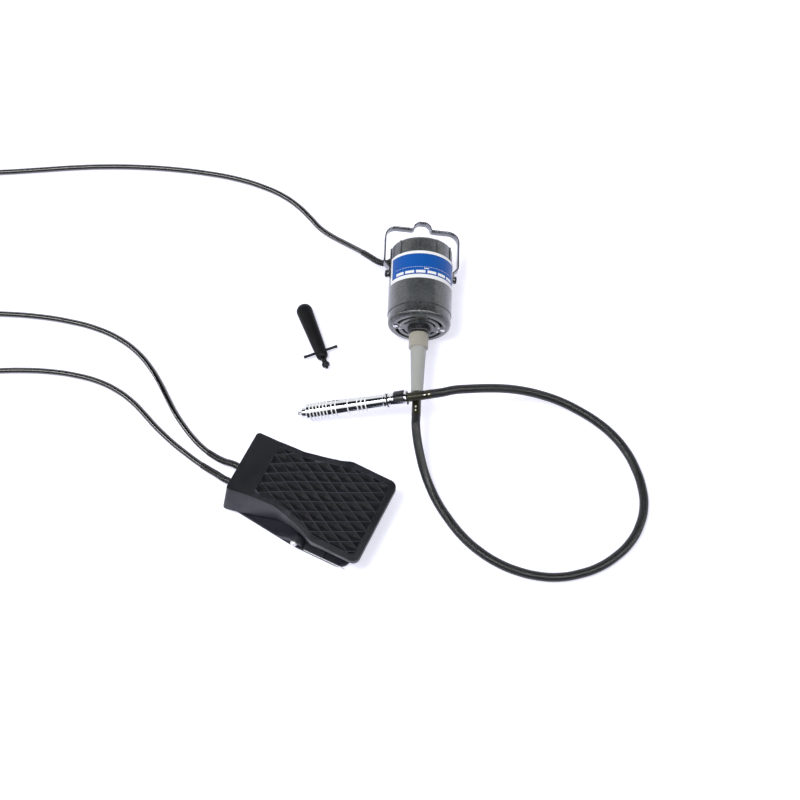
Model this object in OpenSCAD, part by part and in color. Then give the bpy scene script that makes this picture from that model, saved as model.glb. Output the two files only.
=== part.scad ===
// Hanging rotary tool: a universal motor in a steel can with a hanging bail, a
// flexible shaft in a rubber sheath, a quick-release handpiece with a three-jaw
// key chuck, a foot speed control, its leads, and the chuck key.
// Millimetres, +Z up. The set lies on a table at Z = 0, and the origin is under
// the middle of the set.

/* [Motor] */
// Outside diameter of the motor can
motor_d = 92; // [84:1:104]
// Wall of the can, the rear cap and the front bell
motor_wall = 2.5; // [2:0.25:3.5]
// Length of the rear cap
cap_l = 24; // [22:1:30]
// Length of the can between cap and bell
can_l = 84; // [80:1:100]
// Length of the front bell
bell_l = 18; // [16:1:24]
// Length of the name plate along the can
plate_l = 44; // [30:1:50]
// Angle that the name plate wraps round the can
plate_a = 150; // [120:2:156]
// Number of raised ribs round the rear cap
cap_ribs = 10; // [6:1:16]
// Diameter of the motor shaft
shaft_d = 8; // [7:0.5:9]
// Outside diameter of the motor bearings
bearing_d = 22; // [20:1:24]
// Width of the motor bearings
bearing_w = 7; // [6:0.5:8]
// Diameter of the armature
armature_d = 47; // [42:1:50]
// Diameter of the commutator
commutator_d = 28; // [24:1:32]
// Length of the black boss in front of the bell
boss_l = 11; // [8:1:16]
// Diameter of the black boss
boss_d = 32; // [30:1:38]

/* [Bail] */
// Distance of the bail pivots from the rear face
pivot_z = 42; // [38:1:46]
// Width of the bail strap
bail_w = 12; // [10:1:14]
// Thickness of the bail strap
bail_t = 2; // [1.5:0.25:2.5]
// Gap between the bail arms and the can
bail_gap = 8; // [7.5:0.5:12]
// Reach of the shoulder bars from the pivots
bail_reach = 78; // [72:1:90]
// Height of the hanging hump over the shoulder bars
hump_h = 12; // [8:1:18]
// Diameter of the bail screws
pivot_d = 5; // [4:0.5:6]

/* [Flexible shaft] */
// Diameter of the grey collar
collar_d = 28; // [26:1:32]
// Length of the grey collar
collar_l = 22; // [20:1:30]
// Length of the grey boot in front of the collar
boot_l = 69; // [60:1:80]
// Diameter of the boot at the collar
boot_d1 = 22.5; // [20:0.5:25]
// Diameter of the boot at its small end
boot_d2 = 17; // [15:0.5:19]
// Outside diameter of the rubber sheath
sheath_d = 12.5; // [11:0.5:12.5]
// Outside diameter of the crimped ferrules
ferrule_d = 13; // [12.5:0.25:13.5]
// Length of the crimped ferrules
ferrule_l = 35; // [30:1:36]
// Diameter of the wound core
core_d = 5.2; // [4.5:0.1:5.5]

/* [Handpiece] */
// Diameter of the grip at its front rim
grip_d = 25.4; // [24:0.2:27]
// Diameter of the grip at its flange
grip_d2 = 20; // [18.5:0.5:21]
// Length of the handpiece from its rear face to the front rim
grip_l = 147.5; // [140:0.5:156]
// Length of the rear socket with its flange
socket_l = 34; // [32:1:36]
// Diameter of the rear socket
socket_d = 20.8; // [20:0.2:22]
// Depth of the sheath's spigot in the socket
spigot_l = 18; // [14:1:18]
// Diameter of the spigot
spigot_d = 10.8; // [10:0.2:11.4]
// Diameter of the spindle
spindle_d = 8; // [7:0.5:9]
// Diameter of the key ring on the chuck
key_ring_d = 15.6; // [15.2:0.2:17]
// Width of the key ring
key_ring_w = 7; // [6:0.5:8]
// Length of the jaws that stands out of the key ring
jaw_out = 8; // [7:0.5:9]
// Diameter of one jaw
jaw_d = 3.6; // [3.3:0.1:3.8]
// Diameter of the tool shank that the jaws stand open for
shank_d = 2.4; // [2:0.1:3]

/* [Foot control] */
// Length of the treadle
treadle_l = 207; // [183:2:223]
// Half width of the treadle at its rear
treadle_rear = 46; // [44:1:48]
// Half width of the treadle at its waist
treadle_waist = 44; // [40:1:45]
// Half width of the treadle at the toe
treadle_toe = 63.5; // [60:0.5:65]
// Height of the treadle's crown
treadle_h = 60; // [56:1:66]
// Wall of the treadle
treadle_wall = 2.5; // [2:0.25:3]
// Half width of the base at its rear
base_rear = 54; // [52:1:56]
// Half width of the base at the pivot and in front of it
base_toe = 67; // [66:0.5:70]
// Length of the base
base_l = 188; // [180:1:194]
// Distance of the pivot pin from the treadle's rear edge
treadle_pivot = 113; // [107:1:119]
// Height of the pivot pin
pin_z = 18; // [16:1:20]
// Diameter of the pivot pin
pin_d = 6; // [5:0.5:7]
// Height of the rubber feet
foot_h = 2; // [1.5:0.25:3]

/* [Chuck key] */
// Length of the key from butt to tip
key_l = 113; // [106:1:120]
// Diameter of the key's handle at the butt
key_d1 = 24.3; // [22:0.5:26]
// Diameter of the key's handle at the crossbar
key_d2 = 17; // [15:0.5:19]
// Length of the key's crossbar
bar_l = 50; // [44:1:60]
// Diameter of the key's pinion
pinion_d = 11.5; // [10:0.5:12.5]

/* [Leads] */
// Diameter of the motor lead and the foot control's leads
lead_d = 7.5; // [7:0.25:8]
// Mid diameter of each lead's coil
coil_d = 76; // [75:1:84]

/* [Hidden] */
$fn = 64;
eps = 0.02;
run_gap = 0.05;     // radial clearance of a running fit
air = 0.4;          // gap between bodies that must not touch
motor_r = motor_d / 2;
motor_in = motor_r - motor_wall;
motor_l = cap_l + can_l + bell_l;

// Where the motor lies: its rear centre, its turn about Z and its roll.
motor_at = [106.5, 214.5, motor_r];
motor_yaw = 2;
motor_roll = 8;

// Stations along the motor's axis, from its rear face.
rear_bearing_z = 8;
brush_z = 32;
stator_z = 48;
stator_l = 42;
armature_z = stator_z - 2;
armature_l = stator_l + 4;
fan_z = armature_z + armature_l + 8;
front_bearing_z = motor_l - 14;
boss_z = motor_l;
collar_z = boss_z + boss_l;
boot_z = collar_z + collar_l;
ferrule_z = boot_z + boot_l;
coupling_z = boss_z + 13;
coupling_l = 16;
shaft_end = coupling_z + coupling_l / 2;
bolt_r = motor_r - 12;
bell_r = motor_r - 1;     // the can's end stands proud of the bell
bell_edge = 7;
fan_r = bolt_r - 3;
rib_a = 3.25;            // angle that one rib of the rear cap covers

// The bail's arm stands this far from the axis; at the pivot it jogs in.
eye_x = motor_r + 1.3;
arm_x = motor_r + bail_gap + bail_t / 2;

// Where the handpiece lies: its rear centre, dropping to the rim that rests on the table.
// Its ferrule crosses over the motor's, which gives the pitch.
cross_l = 12.6;          // from the handpiece's rear face back to the crossing
function pitch_for(c) =
    asin((motor_r + (ferrule_d + air) / c - grip_d / 2 * c) / (grip_l + cross_l));
grip_pitch = pitch_for(cos(pitch_for(1)));
grip_yaw = 0.8;
hand_at = [86, -25.3, grip_l * sin(grip_pitch) + grip_d / 2 * cos(grip_pitch)];
chuck_z = grip_l;
ring_z = chuck_z + air;
nose_z = ring_z + key_ring_w;
tip_z = nose_z + jaw_out;
jaw_tilt = 8;
jaw_l = jaw_out + 1;
jaw_slit = 0.2;          // half the slit between two jaws
chuck_body_d = key_ring_d - 2;
bush_z = [socket_l - 6, grip_l - 20];   // seats of the spindle bearings
bush_w = 7;
tongue_t = 2;

// Where the foot control stands: the middle of its rear edge and its heading.
pedal_at = [-138.5, -117, 0];
pedal_turn = -26;
base_t = 3;
treadle_x = -3;          // the treadle's rear edge
toe_x = treadle_x + treadle_l;
pivot_x = treadle_x + treadle_pivot;
ear_y = base_toe - 2.5;   // outer face of the base's pivot ears
ear_w = 8;
ear_r = 8;
gusset_l = 33;            // how far an ear's gusset reaches back from the pin
stop_x = pivot_x + 42;    // a low stop rib stands in the tray in front of each ear
stop_size = [2, 14, 9];
pin_head_h = 2.6;
base_z = foot_h;
floor_z = base_z + base_t;
rim_w = 2;
rim_h = base_t + 1.5;
lead_y = [-25, 0];
lead_z = 15;
bushing_l = 14;
bushing_d = 12;
spring_x = base_l - 23;
spring_y = 34;
board_x = 18;
board_l = 74;
board_w = 54;
board_t = 1.6;
board_z = base_z + 8;
plunger_x = base_l - 38;

// Where the chuck key lies: its butt centre and heading; its handle rests along its side.
key_at = [-70, 149];
key_turn = -69;
handle_l = key_l - 16;
key_dome = 6;
key_pitch = atan((key_d1 - key_d2) / 2 / (handle_l - key_dome));
pinion_l = 10;
pilot_l = 2;

// Rotations of a point, and the two frames as functions.
function rot_x(p, a) = [p[0], p[1] * cos(a) - p[2] * sin(a), p[1] * sin(a) + p[2] * cos(a)];
function rot_y(p, a) = [p[0] * cos(a) + p[2] * sin(a), p[1], -p[0] * sin(a) + p[2] * cos(a)];
function rot_z(p, a) = [p[0] * cos(a) - p[1] * sin(a), p[0] * sin(a) + p[1] * cos(a), p[2]];
function on_motor(p) = motor_at + rot_z(rot_x(rot_z(p, -motor_roll), 90), -motor_yaw);
function on_hand(p) = hand_at + rot_z(rot_y(p, -90 - grip_pitch), grip_yaw);
function on_pedal(p) = pedal_at + rot_z(p, pedal_turn);

// The lead leaves the rear cap sideways, just under the bail's left arm.
grommet_z = 17;
grommet_a = 195;
grommet_out = motor_r + 4.5;
function grommet_pt(r) = on_motor([r * cos(grommet_a), r * sin(grommet_a), grommet_z]);

// Routes, as points on the centre line. The ends follow the fittings.
sheath_route = concat(
    [on_motor([0, 0, ferrule_z + ferrule_l]), on_motor([0, 0, ferrule_z + ferrule_l + 14])],
    [[99, -82, 37.5], [103, -101, 28.5], [108, -119, 19.5], [116, -140, 12], [127, -163, 8],
     [142, -187, 6.4], [160, -211, 6.3], [182, -232, 6.3], [207, -249, 6.3], [234, -261, 6.3],
     [262, -268, 6.3], [290, -269.5, 6.3], [317, -265, 6.3], [343, -256, 6.3], [367, -241, 6.3],
     [388, -221, 6.3], [403, -196, 6.3], [411, -167, 6.3], [410, -139, 6.3], [403, -111, 6.3],
     [391, -84, 6.3], [373, -59, 6.5], [352, -40, 8], [329, -26, 12], [303, -15, 19],
     [276, -9, 28], [249, -7, 38.5], [223, -8.5, 49], [197, -12.5, 59], [172, -17, 66.5],
     [149, -21, 71]],
    [on_hand([0, 0, -ferrule_l - 14]), on_hand([0, 0, -ferrule_l])]);
motor_lead_route = concat(
    [grommet_pt(grommet_out), grommet_pt(grommet_out + 6)],
    [[41, 204, 37.8], [31, 213, 34.5], [20, 223.5, 29.5], [5, 237, 22], [-12, 251, 15],
     [-30, 266, 8.5], [-46, 281, 5], [-60, 298, 3.9], [-78, 318, 3.9], [-103, 338, 3.9],
     [-136, 355, 3.9], [-176, 369, 3.9], [-222, 379, 3.9], [-272, 386, 3.9], [-324, 390, 3.9],
     [-376, 391, 3.9], [-428, 389, 3.9], [-480, 385, 3.9], [-536, 381, 3.9], [-592, 380, 3.9]]);
motor_tail_route = [[-660, 447, 3.9], [-660, 462, 3.9], [-656, 476, 4.5], [-646, 487, 7],
    [-632, 491, 9.5], [-618, 491, 10]];
mains_route = concat(
    [on_pedal([-bushing_l, lead_y[0], lead_z]), on_pedal([-bushing_l - 7, lead_y[0], lead_z])],
    [[-178, -122.5, 11], [-192, -112.5, 6.8], [-208, -101, 4.3], [-226, -87, 3.9],
     [-243, -73, 3.9], [-257, -60, 3.9], [-271, -46, 3.9], [-287, -28, 3.9], [-305, -9, 3.9],
     [-328, 9, 3.9], [-357, 24, 3.9], [-391, 34, 3.9], [-429, 40, 3.9], [-470, 42, 3.9],
     [-513, 41, 3.9], [-556, 40, 3.9]]);
mains_tail_route = [[-624, -28, 3.9], [-624, -42, 3.9], [-620, -56, 4.5], [-610, -67, 7],
    [-596, -71, 9.5], [-582, -71, 10]];
outlet_route = concat(
    [on_pedal([-bushing_l, lead_y[1], lead_z]), on_pedal([-bushing_l - 7, lead_y[1], lead_z])],
    [[-170, -102, 10.3], [-185, -92.5, 6.5], [-202, -79, 4.2], [-218, -62, 3.9],
     [-231, -45, 3.9], [-243, -27, 3.9], [-255, -5, 3.9], [-268, 20, 3.9], [-284, 46, 3.9],
     [-305, 71, 3.9], [-333, 93, 3.9], [-368, 110, 3.9], [-410, 122, 3.9], [-457, 130, 3.9],
     [-508, 134, 3.9], [-559, 135, 3.9]]);
outlet_tail_route = [[-627, 203, 3.9], [-627, 217, 3.9], [-623, 231, 4.5], [-613, 242, 7],
    [-599, 246, 9.5], [-585, 246, 10]];
// Each route runs onto its coil's outer turn.
turn_r = coil_d / 2 + lead_d / 2;
motor_coil_at = [-618, 380 + turn_r];
mains_coil_at = [-582, 40 - turn_r];
outlet_coil_at = [-585, 135 + turn_r];

// A smooth curve through the points of a route, with steps stretches between two points.
function spline(p, t) =
    let (i = min(floor(t), len(p) - 2), u = t - i, b = p[i], c = p[i + 1],
         a = i > 0 ? p[i - 1] : 2 * b - c, d = i + 2 < len(p) ? p[i + 2] : 2 * c - b)
    0.5 * (2 * b + (c - a) * u + (2 * a - 5 * b + 4 * c - d) * u * u
           + (3 * b - a - 3 * c + d) * u * u * u);
function smooth(p, steps) = [for (k = [0 : steps * (len(p) - 1)]) spline(p, k / steps)];
function unit(v) = v / norm(v);
// Heading at point k of curve p; its ends face the way the route's ends run.
function way(route, p, k) = k == 0 ? unit(route[1] - route[0])
    : k == len(p) - 1 ? unit(route[len(route) - 1] - route[len(route) - 2])
    : unit(p[k + 1] - p[k - 1]);
function ring(route, p, k, r, sides) =
    let (t = way(route, p, k), s = unit(cross([0, 0, 1], t)), u = cross(t, s))
    [for (j = [0 : sides - 1]) p[k] + r * (cos(360 * j / sides) * s + sin(360 * j / sides) * u)];
// Side faces between ring k and ring k + 1 of a skin that starts at point "at".
function skin(at, rings, n, out) = [for (k = [0 : rings - 2], j = [0 : n - 1])
    let (a = at + k * n + j, b = at + k * n + (j + 1) % n, c = b + n, d = a + n)
    out ? [d, c, b, a] : [a, b, c, d]];

// A round bar along a route.
module cord(route, d, sides = 10, steps = 1) {
    p = smooth(route, steps);
    m = len(p);
    points = [for (k = [0 : m - 1]) each ring(route, p, k, d / 2, sides)];
    ends = [[for (j = [0 : sides - 1]) j], [for (j = [sides - 1 : -1 : 0]) (m - 1) * sides + j]];
    polyhedron(points, concat(skin(0, m, sides, true), ends));
}

// A hose along a route: the outer skin, the bore and the two end faces.
module hose(route, d, bore, sides = 12, steps = 1) {
    p = smooth(route, steps);
    m = len(p);
    half = m * sides;
    points = concat([for (k = [0 : m - 1]) each ring(route, p, k, d / 2, sides)],
                    [for (k = [0 : m - 1]) each ring(route, p, k, bore / 2, sides)]);
    lips = [for (j = [0 : sides - 1]) let (n = (j + 1) % sides) each
        [[j, n, half + n, half + j],
         [half - sides + n, half - sides + j, 2 * half - sides + j, 2 * half - sides + n]]];
    polyhedron(points, concat(skin(0, m, sides, true), skin(half, m, sides, false), lips));
}

module motor_frame() translate(motor_at) rotate([0, 0, -motor_yaw]) rotate([90, 0, 0])
    rotate([0, 0, -motor_roll]) children();
module hand_frame() translate(hand_at) rotate([0, 0, grip_yaw]) rotate([0, -90 - grip_pitch, 0])
    children();
module pedal_frame() translate(pedal_at) rotate([0, 0, pedal_turn]) children();
key_z = key_d1 / 2 / cos(key_pitch) + key_dome * tan(key_pitch);
module key_frame() translate([key_at[0], key_at[1], key_z]) rotate([0, 0, key_turn])
    rotate([0, 90 + key_pitch, 0]) children();

module pipe(r, bore, z, h) translate([0, 0, z]) difference() {
    cylinder(r = r, h = h);
    translate([0, 0, -eps]) cylinder(r = bore, h = h + 2 * eps);
}
module rod(r, z, h) translate([0, 0, z]) cylinder(r = r, h = h);
module sector(r1, r2, a, z, h) translate([0, 0, z]) rotate([0, 0, -a / 2])
    rotate_extrude(angle = a) translate([r1, 0]) square([r2 - r1, h]);
module slab(size, z = 0) translate([-size[0] / 2, -size[1] / 2, z]) cube(size);

// ---------------------------------------------------------------- motor

module rear_cap() color("dimgray") motor_frame() difference() {
    union() {
        rod(motor_r - 1.2, 0, cap_l);
        for (k = [0 : cap_ribs - 1]) rotate([0, 0, 360 * k / cap_ribs + 67.5])
            sector(motor_r - 1.4, motor_r, rib_a, 1.5, cap_l - 1.5);
    }
    difference() {
        rod(motor_in, motor_wall, cap_l);
        rod(bearing_d / 2 + 4, 0, rear_bearing_z + bearing_w);
    }
    rod(bearing_d / 2, rear_bearing_z, bearing_w + 1);
    for (k = [0 : 7]) rotate([0, 0, 45 * k + 22.5]) sector(22, 33, 26, -1, motor_wall + 2);
    for (s = [-1, 1]) translate([s * bolt_r, 0, 0]) rod(2.2, -1, cap_l);
    translate([0, 0, grommet_z]) rotate([0, 0, grommet_a]) rotate([0, 90, 0])
        cylinder(r = lead_d / 2 + 1.25, h = motor_r + 5);
}

module lead_grommet() color("black") motor_frame() translate([0, 0, grommet_z])
    rotate([0, 0, grommet_a]) rotate([0, 90, 0]) difference() {
        union() {
            rod(lead_d / 2 + 2.7, motor_in - 3, 2);
            rod(lead_d / 2 + 1.25, motor_in - 3, motor_r + 1 - motor_in + 3);
            rod(lead_d / 2 + 3, motor_r - 0.6, 2);
            translate([0, 0, motor_r + 1]) cylinder(r1 = lead_d / 2 + 2.4,
                r2 = lead_d / 2 + 0.8, h = grommet_out - motor_r - 1);
        }
        rod(lead_d / 2 - 0.8, motor_in - 4, grommet_out - motor_in + 2);
    }

module motor_can() color("dimgray") motor_frame() difference() {
    pipe(motor_r, motor_in, cap_l, can_l);
    for (s = [0, 180]) rotate([0, 0, s]) translate([0, 0, pivot_z]) rotate([0, 90, 0]) {
        cylinder(r = pivot_d / 2, h = motor_r + 5);
        translate([0, 0, motor_r - 0.6]) cylinder(r = pivot_d / 2 + 2, h = 5);
    }
}

module name_plate() color("royalblue") motor_frame() rotate([0, 0, 90])
    sector(motor_r + run_gap, motor_r + 0.35, plate_a, cap_l + 1, plate_l);

module front_bell() color("dimgray") motor_frame() difference() {
    translate([0, 0, cap_l + can_l]) rotate_extrude() {
        square([bell_r, bell_l - bell_edge]);
        square([bell_r - bell_edge, bell_l]);
        translate([bell_r - bell_edge, bell_l - bell_edge]) circle(r = bell_edge);
    }
    difference() {
        union() {
            rod(bell_r - motor_wall, cap_l + can_l - 1, bell_l - bell_edge - 1);
            rod(bell_r - bell_edge, cap_l + can_l - 1, bell_l + 1 - 3);
        }
        rod(bearing_d / 2 + 4, front_bearing_z - 1, 30);
    }
    rod(bearing_d / 2, cap_l + can_l - 1, front_bearing_z + bearing_w - cap_l - can_l + 1);
    rod(shaft_d / 2 + 2, cap_l, motor_l);
    for (q = [45 : 90 : 315]) rotate([0, 0, q]) {
        sector(21, 25, 58, motor_l - 5, 8);
        sector(30, 34.5, 62, motor_l - 5, 8);
    }
    for (s = [-1, 1]) translate([s * bolt_r, 0, 0]) {
        rod(2.2, cap_l, motor_l);
        rod(5.2, motor_l - 1.5, 3);
    }
}

// Two long bolts hold cap, can and bell together, through holes in the stator.
module through_bolts() color("silver") motor_frame() for (s = [-1, 1])
    translate([s * bolt_r, 0, 0]) {
        rod(2.2, -2.5, motor_l + 1);
        difference() {
            rod(4.2, motor_l - 1.5, 2.5);
            translate([0, 0, motor_l + 0.2]) slab([9, 1.2, 2]);
        }
        rod(4, -2.5, 2.5);
    }

module bearing_boss() color("black") motor_frame() difference() {
    union() {
        rod(boss_d / 2, boss_z, boss_l - 2);
        translate([0, 0, boss_z + boss_l - 2]) cylinder(r1 = boss_d / 2, r2 = boss_d / 2 - 2, h = 2);
    }
    rod(10, boss_z - 1, boss_l + 2);
}

module ball_bearing(r, bore, z, w) {
    pipe(r, r * 0.82, z, w);
    pipe(bore + (r - bore) * 0.3, bore, z, w);
    pipe(r * 0.82, bore + (r - bore) * 0.3, z + w * 0.2, w * 0.6);
}
module motor_bearings() color("silver") motor_frame() {
    ball_bearing(bearing_d / 2, shaft_d / 2 + run_gap, rear_bearing_z, bearing_w);
    ball_bearing(bearing_d / 2, shaft_d / 2 + run_gap, front_bearing_z, bearing_w);
}

pole_half = 8;
pole_r = armature_d / 2 + 0.8;
module pole_outline() difference() {
    union() {
        difference() {
            circle(r = motor_in);
            circle(r = motor_in - 7);
        }
        intersection() {
            circle(r = motor_in - 4);
            square([2 * pole_half, 2 * motor_in], center = true);
        }
        for (s = [0, 180]) rotate(s) intersection() {
            circle(r = pole_r + 3);
            polygon([[10, 8.7], [30, 26], [30, 60], [-30, 60], [-30, 26], [-10, 8.7]]);
        }
    }
    circle(r = pole_r);
    for (s = [-1, 1]) translate([s * bolt_r, 0]) circle(r = 2.6);
}
module stator_core() color("slategray") motor_frame() translate([0, 0, stator_z])
    linear_extrude(stator_l) difference() {
        pole_outline();
        for (s = [-1, 1]) translate([s * (bolt_r - 3), 0]) square([8, 6], center = true);
    }

module field_coils() color("peru") motor_frame() for (s = [0, 180]) rotate([0, 0, s])
    translate([0, (pole_r + motor_in - 5) / 2, stator_z - 5]) rotate([90, 0, 0]) difference() {
        translate([-pole_half - 5, 0, -2]) cube([2 * pole_half + 10, stator_l + 10, 4]);
        translate([-pole_half, 5, -3]) cube([2 * pole_half, stator_l, 6]);
    }

module brush_rigging() color("goldenrod") motor_frame() {
    difference() {
        pipe(motor_in, commutator_d / 2 + 3, brush_z - 6.5, 3);
        for (s = [-1, 1]) translate([s * bolt_r, 0, 0]) rod(2.6, brush_z - 8, 6);
    }
    for (s = [0, 180]) rotate([0, 0, s]) translate([0, commutator_d / 2 + 2, brush_z])
        rotate([-90, 0, 0]) difference() {
            slab([9, 7, 20]);
            slab([6, 5, 18.5], -1);
        }
}
module carbon_brushes() color("black") motor_frame() for (s = [0, 180]) rotate([0, 0, s])
    difference() {
        translate([0, commutator_d / 2 - 1, brush_z]) rotate([-90, 0, 0]) slab([5.9, 4.9, 11]);
        rod(commutator_d / 2 + run_gap, brush_z - 10, 20);
    }
module brush_springs() color("silver") motor_frame() for (s = [0, 180]) rotate([0, 0, s])
    translate([0, commutator_d / 2 + 10, brush_z]) rotate([-90, 0, 0]) pipe(2, 1.4, 0, 9.5);

module motor_shaft() color("silver") motor_frame()
    rod(shaft_d / 2, rear_bearing_z + 0.2, shaft_end - rear_bearing_z - 0.2);

module armature_core() color("gray") motor_frame() difference() {
    pipe(armature_d / 2, shaft_d / 2, armature_z, armature_l);
    for (k = [0 : 11]) rotate([0, 0, 30 * k + 15]) translate([armature_d / 2 - 3, -1.2, armature_z - 1])
        cube([6, 2.4, armature_l + 2]);
}
module armature_windings() color("darkorange") motor_frame() {
    for (z = [armature_z - 5, armature_z + armature_l]) translate([0, 0, z])
        rotate_extrude() translate([shaft_d / 2 + 3, 0])
            square([armature_d / 2 - shaft_d / 2 - 7, 5]);
    for (k = [0 : 11]) rotate([0, 0, 30 * k + 15]) difference() {
        translate([armature_d / 2 - 6, -1, armature_z - 3]) cube([5.4, 2, armature_l + 6]);
        translate([armature_d / 2 - 7, -2, armature_z - 0.1]) cube([4, 4, armature_l + 0.2]);
    }
}
module commutator() color("peru") motor_frame() difference() {
    pipe(commutator_d / 2, shaft_d / 2, brush_z - 7, 15);
    for (k = [0 : 11]) rotate([0, 0, 30 * k]) translate([commutator_d / 2 - 1.5, -0.3, brush_z - 8])
        cube([3, 0.6, 14]);
}
module cooling_fan() color("whitesmoke") motor_frame() {
    pipe(fan_r, shaft_d / 2, fan_z, 1.5);
    pipe(shaft_d / 2 + 4, shaft_d / 2, fan_z + 1.5, 6);
    for (k = [0 : 8]) rotate([0, 0, 40 * k]) translate([shaft_d / 2 + 3, -0.6, fan_z + 1.5])
        cube([fan_r - 4 - shaft_d / 2, 1.2, 5]);
}
module shaft_coupling() color("silver") motor_frame() difference() {
    rod(9, coupling_z, coupling_l);
    rod(shaft_d / 2, coupling_z - 1, shaft_end - coupling_z + 1);
    rod(core_d / 2 + 0.2, coupling_z, coupling_l + 1);
    translate([0, 0, coupling_z + 5]) rotate([0, 90, 0]) cylinder(r = 2, h = 20);
}

// ---------------------------------------------------------------- bail

function arc(c, r, a, b, n = 8) = [for (k = [0 : n])
    let (t = a + (b - a) * k / n) c + r * [cos(t), sin(t)]];
bar_z = pivot_z - bail_reach;
corner_r = 17;
bail_side = concat([[eye_x, pivot_z], [eye_x, pivot_z - 8], [eye_x + 1, pivot_z - 10.5],
        [arm_x - 1, pivot_z - 16.5], [arm_x, pivot_z - 19]],
    arc([arm_x - corner_r, bar_z + corner_r], corner_r, 0, -90),
    [[15.5, bar_z], [7.5, bar_z - hump_h]]);
bail_line = concat(bail_side,
    [for (k = [len(bail_side) - 1 : -1 : 0]) [-bail_side[k][0], bail_side[k][1]]]);
function bail_way(k) = k == 0 ? [0, -1] : k == len(bail_line) - 1 ? [0, 1]
    : unit(unit(bail_line[k + 1] - bail_line[k]) + unit(bail_line[k] - bail_line[k - 1]));
function bail_edge(k, side) =
    let (t = bail_way(k), last = len(bail_line) - 1,
         s = k == 0 || k == last ? 1 : 1 / max(0.5, t * unit(bail_line[k + 1] - bail_line[k])))
    bail_line[k] + side * bail_t * s * [t[1], -t[0]];
module bail() color("silver") motor_frame() difference() {
    union() {
        rotate([90, 0, 0]) translate([0, 0, -bail_w / 2]) linear_extrude(bail_w) polygon(concat(
            [for (k = [0 : len(bail_line) - 1]) bail_edge(k, 0)],
            [for (k = [len(bail_line) - 1 : -1 : 0]) bail_edge(k, -1)]));
        for (s = [0, 180]) rotate([0, 0, s]) translate([eye_x, 0, pivot_z]) rotate([0, 90, 0])
            cylinder(r = bail_w / 2, h = bail_t);
    }
    translate([0, 0, pivot_z]) rotate([0, 90, 0])
        cylinder(r = pivot_d / 2 + run_gap, h = 4 * motor_r, center = true);
}
module bail_screws() color("black") motor_frame() for (s = [0, 180]) rotate([0, 0, s])
    translate([0, 0, pivot_z]) rotate([0, 90, 0]) {
        rod(pivot_d / 2, motor_in - 2, eye_x + bail_t + 2 - motor_in + 2);
        rod(pivot_d / 2 + 2, motor_r - 0.6, eye_x - 0.1 - motor_r + 0.6);
        difference() {
            rod(pivot_d / 2 + 3, eye_x + bail_t + 0.1, 3.2);
            translate([0, 0, eye_x + bail_t + 2.2]) slab([14, 1.2, 3]);
        }
    }

// ---------------------------------------------------------------- flexible shaft

module connector_collar() color("darkgray") motor_frame() difference() {
    rod(collar_d / 2, collar_z, collar_l);
    rod(11, collar_z - 1, collar_l - 5);
    rod(boot_d1 / 2 - 2, collar_z, collar_l - 2);
    rod(boot_d1 / 2, boot_z - 3, 4);
}
module sheath_boot() color("darkgray") motor_frame() difference() {
    union() {
        rod(boot_d1 / 2, boot_z - 3, 3);
        translate([0, 0, boot_z]) cylinder(r1 = boot_d1 / 2, r2 = boot_d2 / 2, h = boot_l);
    }
    rod(core_d / 2 + 1.4, boot_z - 5, boot_l + 9);
    rod(boot_d1 / 2 - 4, boot_z - 5, 12);
}
module motor_ferrule() color("darkolivegreen") motor_frame() difference() {
    union() {
        pipe(ferrule_d / 2, core_d / 2 + 0.8, ferrule_z, ferrule_l);
        pipe(ferrule_d / 2 - 1.5, core_d / 2 + 0.8, ferrule_z + 2, 5);
    }
    for (z = [14, 19]) for (a = [0 : 90 : 270]) rotate([0, 0, a + 90])
        translate([ferrule_d / 2, 0, ferrule_z + z]) rotate([0, 90, 0])
            cylinder(r = 0.9, h = 1.6, center = true);
}
module sheath() color("black") hose(sheath_route, sheath_d, 8.2, 12, 2);
core_start = shaft_end + 0.4;
core_route = concat([on_motor([0, 0, core_start]), on_motor([0, 0, ferrule_z])], sheath_route,
    [on_hand([0, 0, -ferrule_l / 2]), on_hand([0, 0, 1.6])]);
module flex_core() color("silver") cord(core_route, core_d, 8, 2);
module handpiece_ferrule() color("darkolivegreen") hand_frame() difference() {
    union() {
        pipe(ferrule_d / 2, core_d / 2 + 0.8, -ferrule_l, ferrule_l);
        pipe(spigot_d / 2, core_d / 2 + 0.8, 0, spigot_l);
    }
    for (z = [-16, -21]) for (a = [0 : 90 : 270]) rotate([0, 0, a])
        translate([ferrule_d / 2, 0, z]) rotate([0, 90, 0]) cylinder(r = 0.9, h = 1.6, center = true);
    translate([0, 0, spigot_l - 5]) rotate_extrude() translate([spigot_d / 2, 0]) circle(r = 0.8);
}
module drive_tip() color("silver") hand_frame() {
    rod(core_d / 2 + 0.4, 2, spigot_l);
    translate([0, 0, spigot_l + 2]) slab([core_d, tongue_t, 5]);
}

// ---------------------------------------------------------------- handpiece

module rear_socket() color("silver") hand_frame() difference() {
    union() {
        rod(socket_d / 2, air, socket_l - 6 - air);
        rod(socket_d / 2 - 0.9, socket_l - 6.5, 3);
        rod(socket_d / 2 + 0.6, socket_l - 4, 4);
    }
    rod(spigot_d / 2 + run_gap, 0, spigot_l + 0.5);
    rod(spindle_d / 2 + 1.5, spigot_l, socket_l);
    rod(bearing_seat_r, bush_z[0], bush_w + 1);
    button_block(spigot_d / 2 + 1, socket_d, 0.25);
}
bearing_seat_r = 8;
button_a = 14;
button_z = 13.5;
button_l = 15;
button_w = 16.4;
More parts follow.
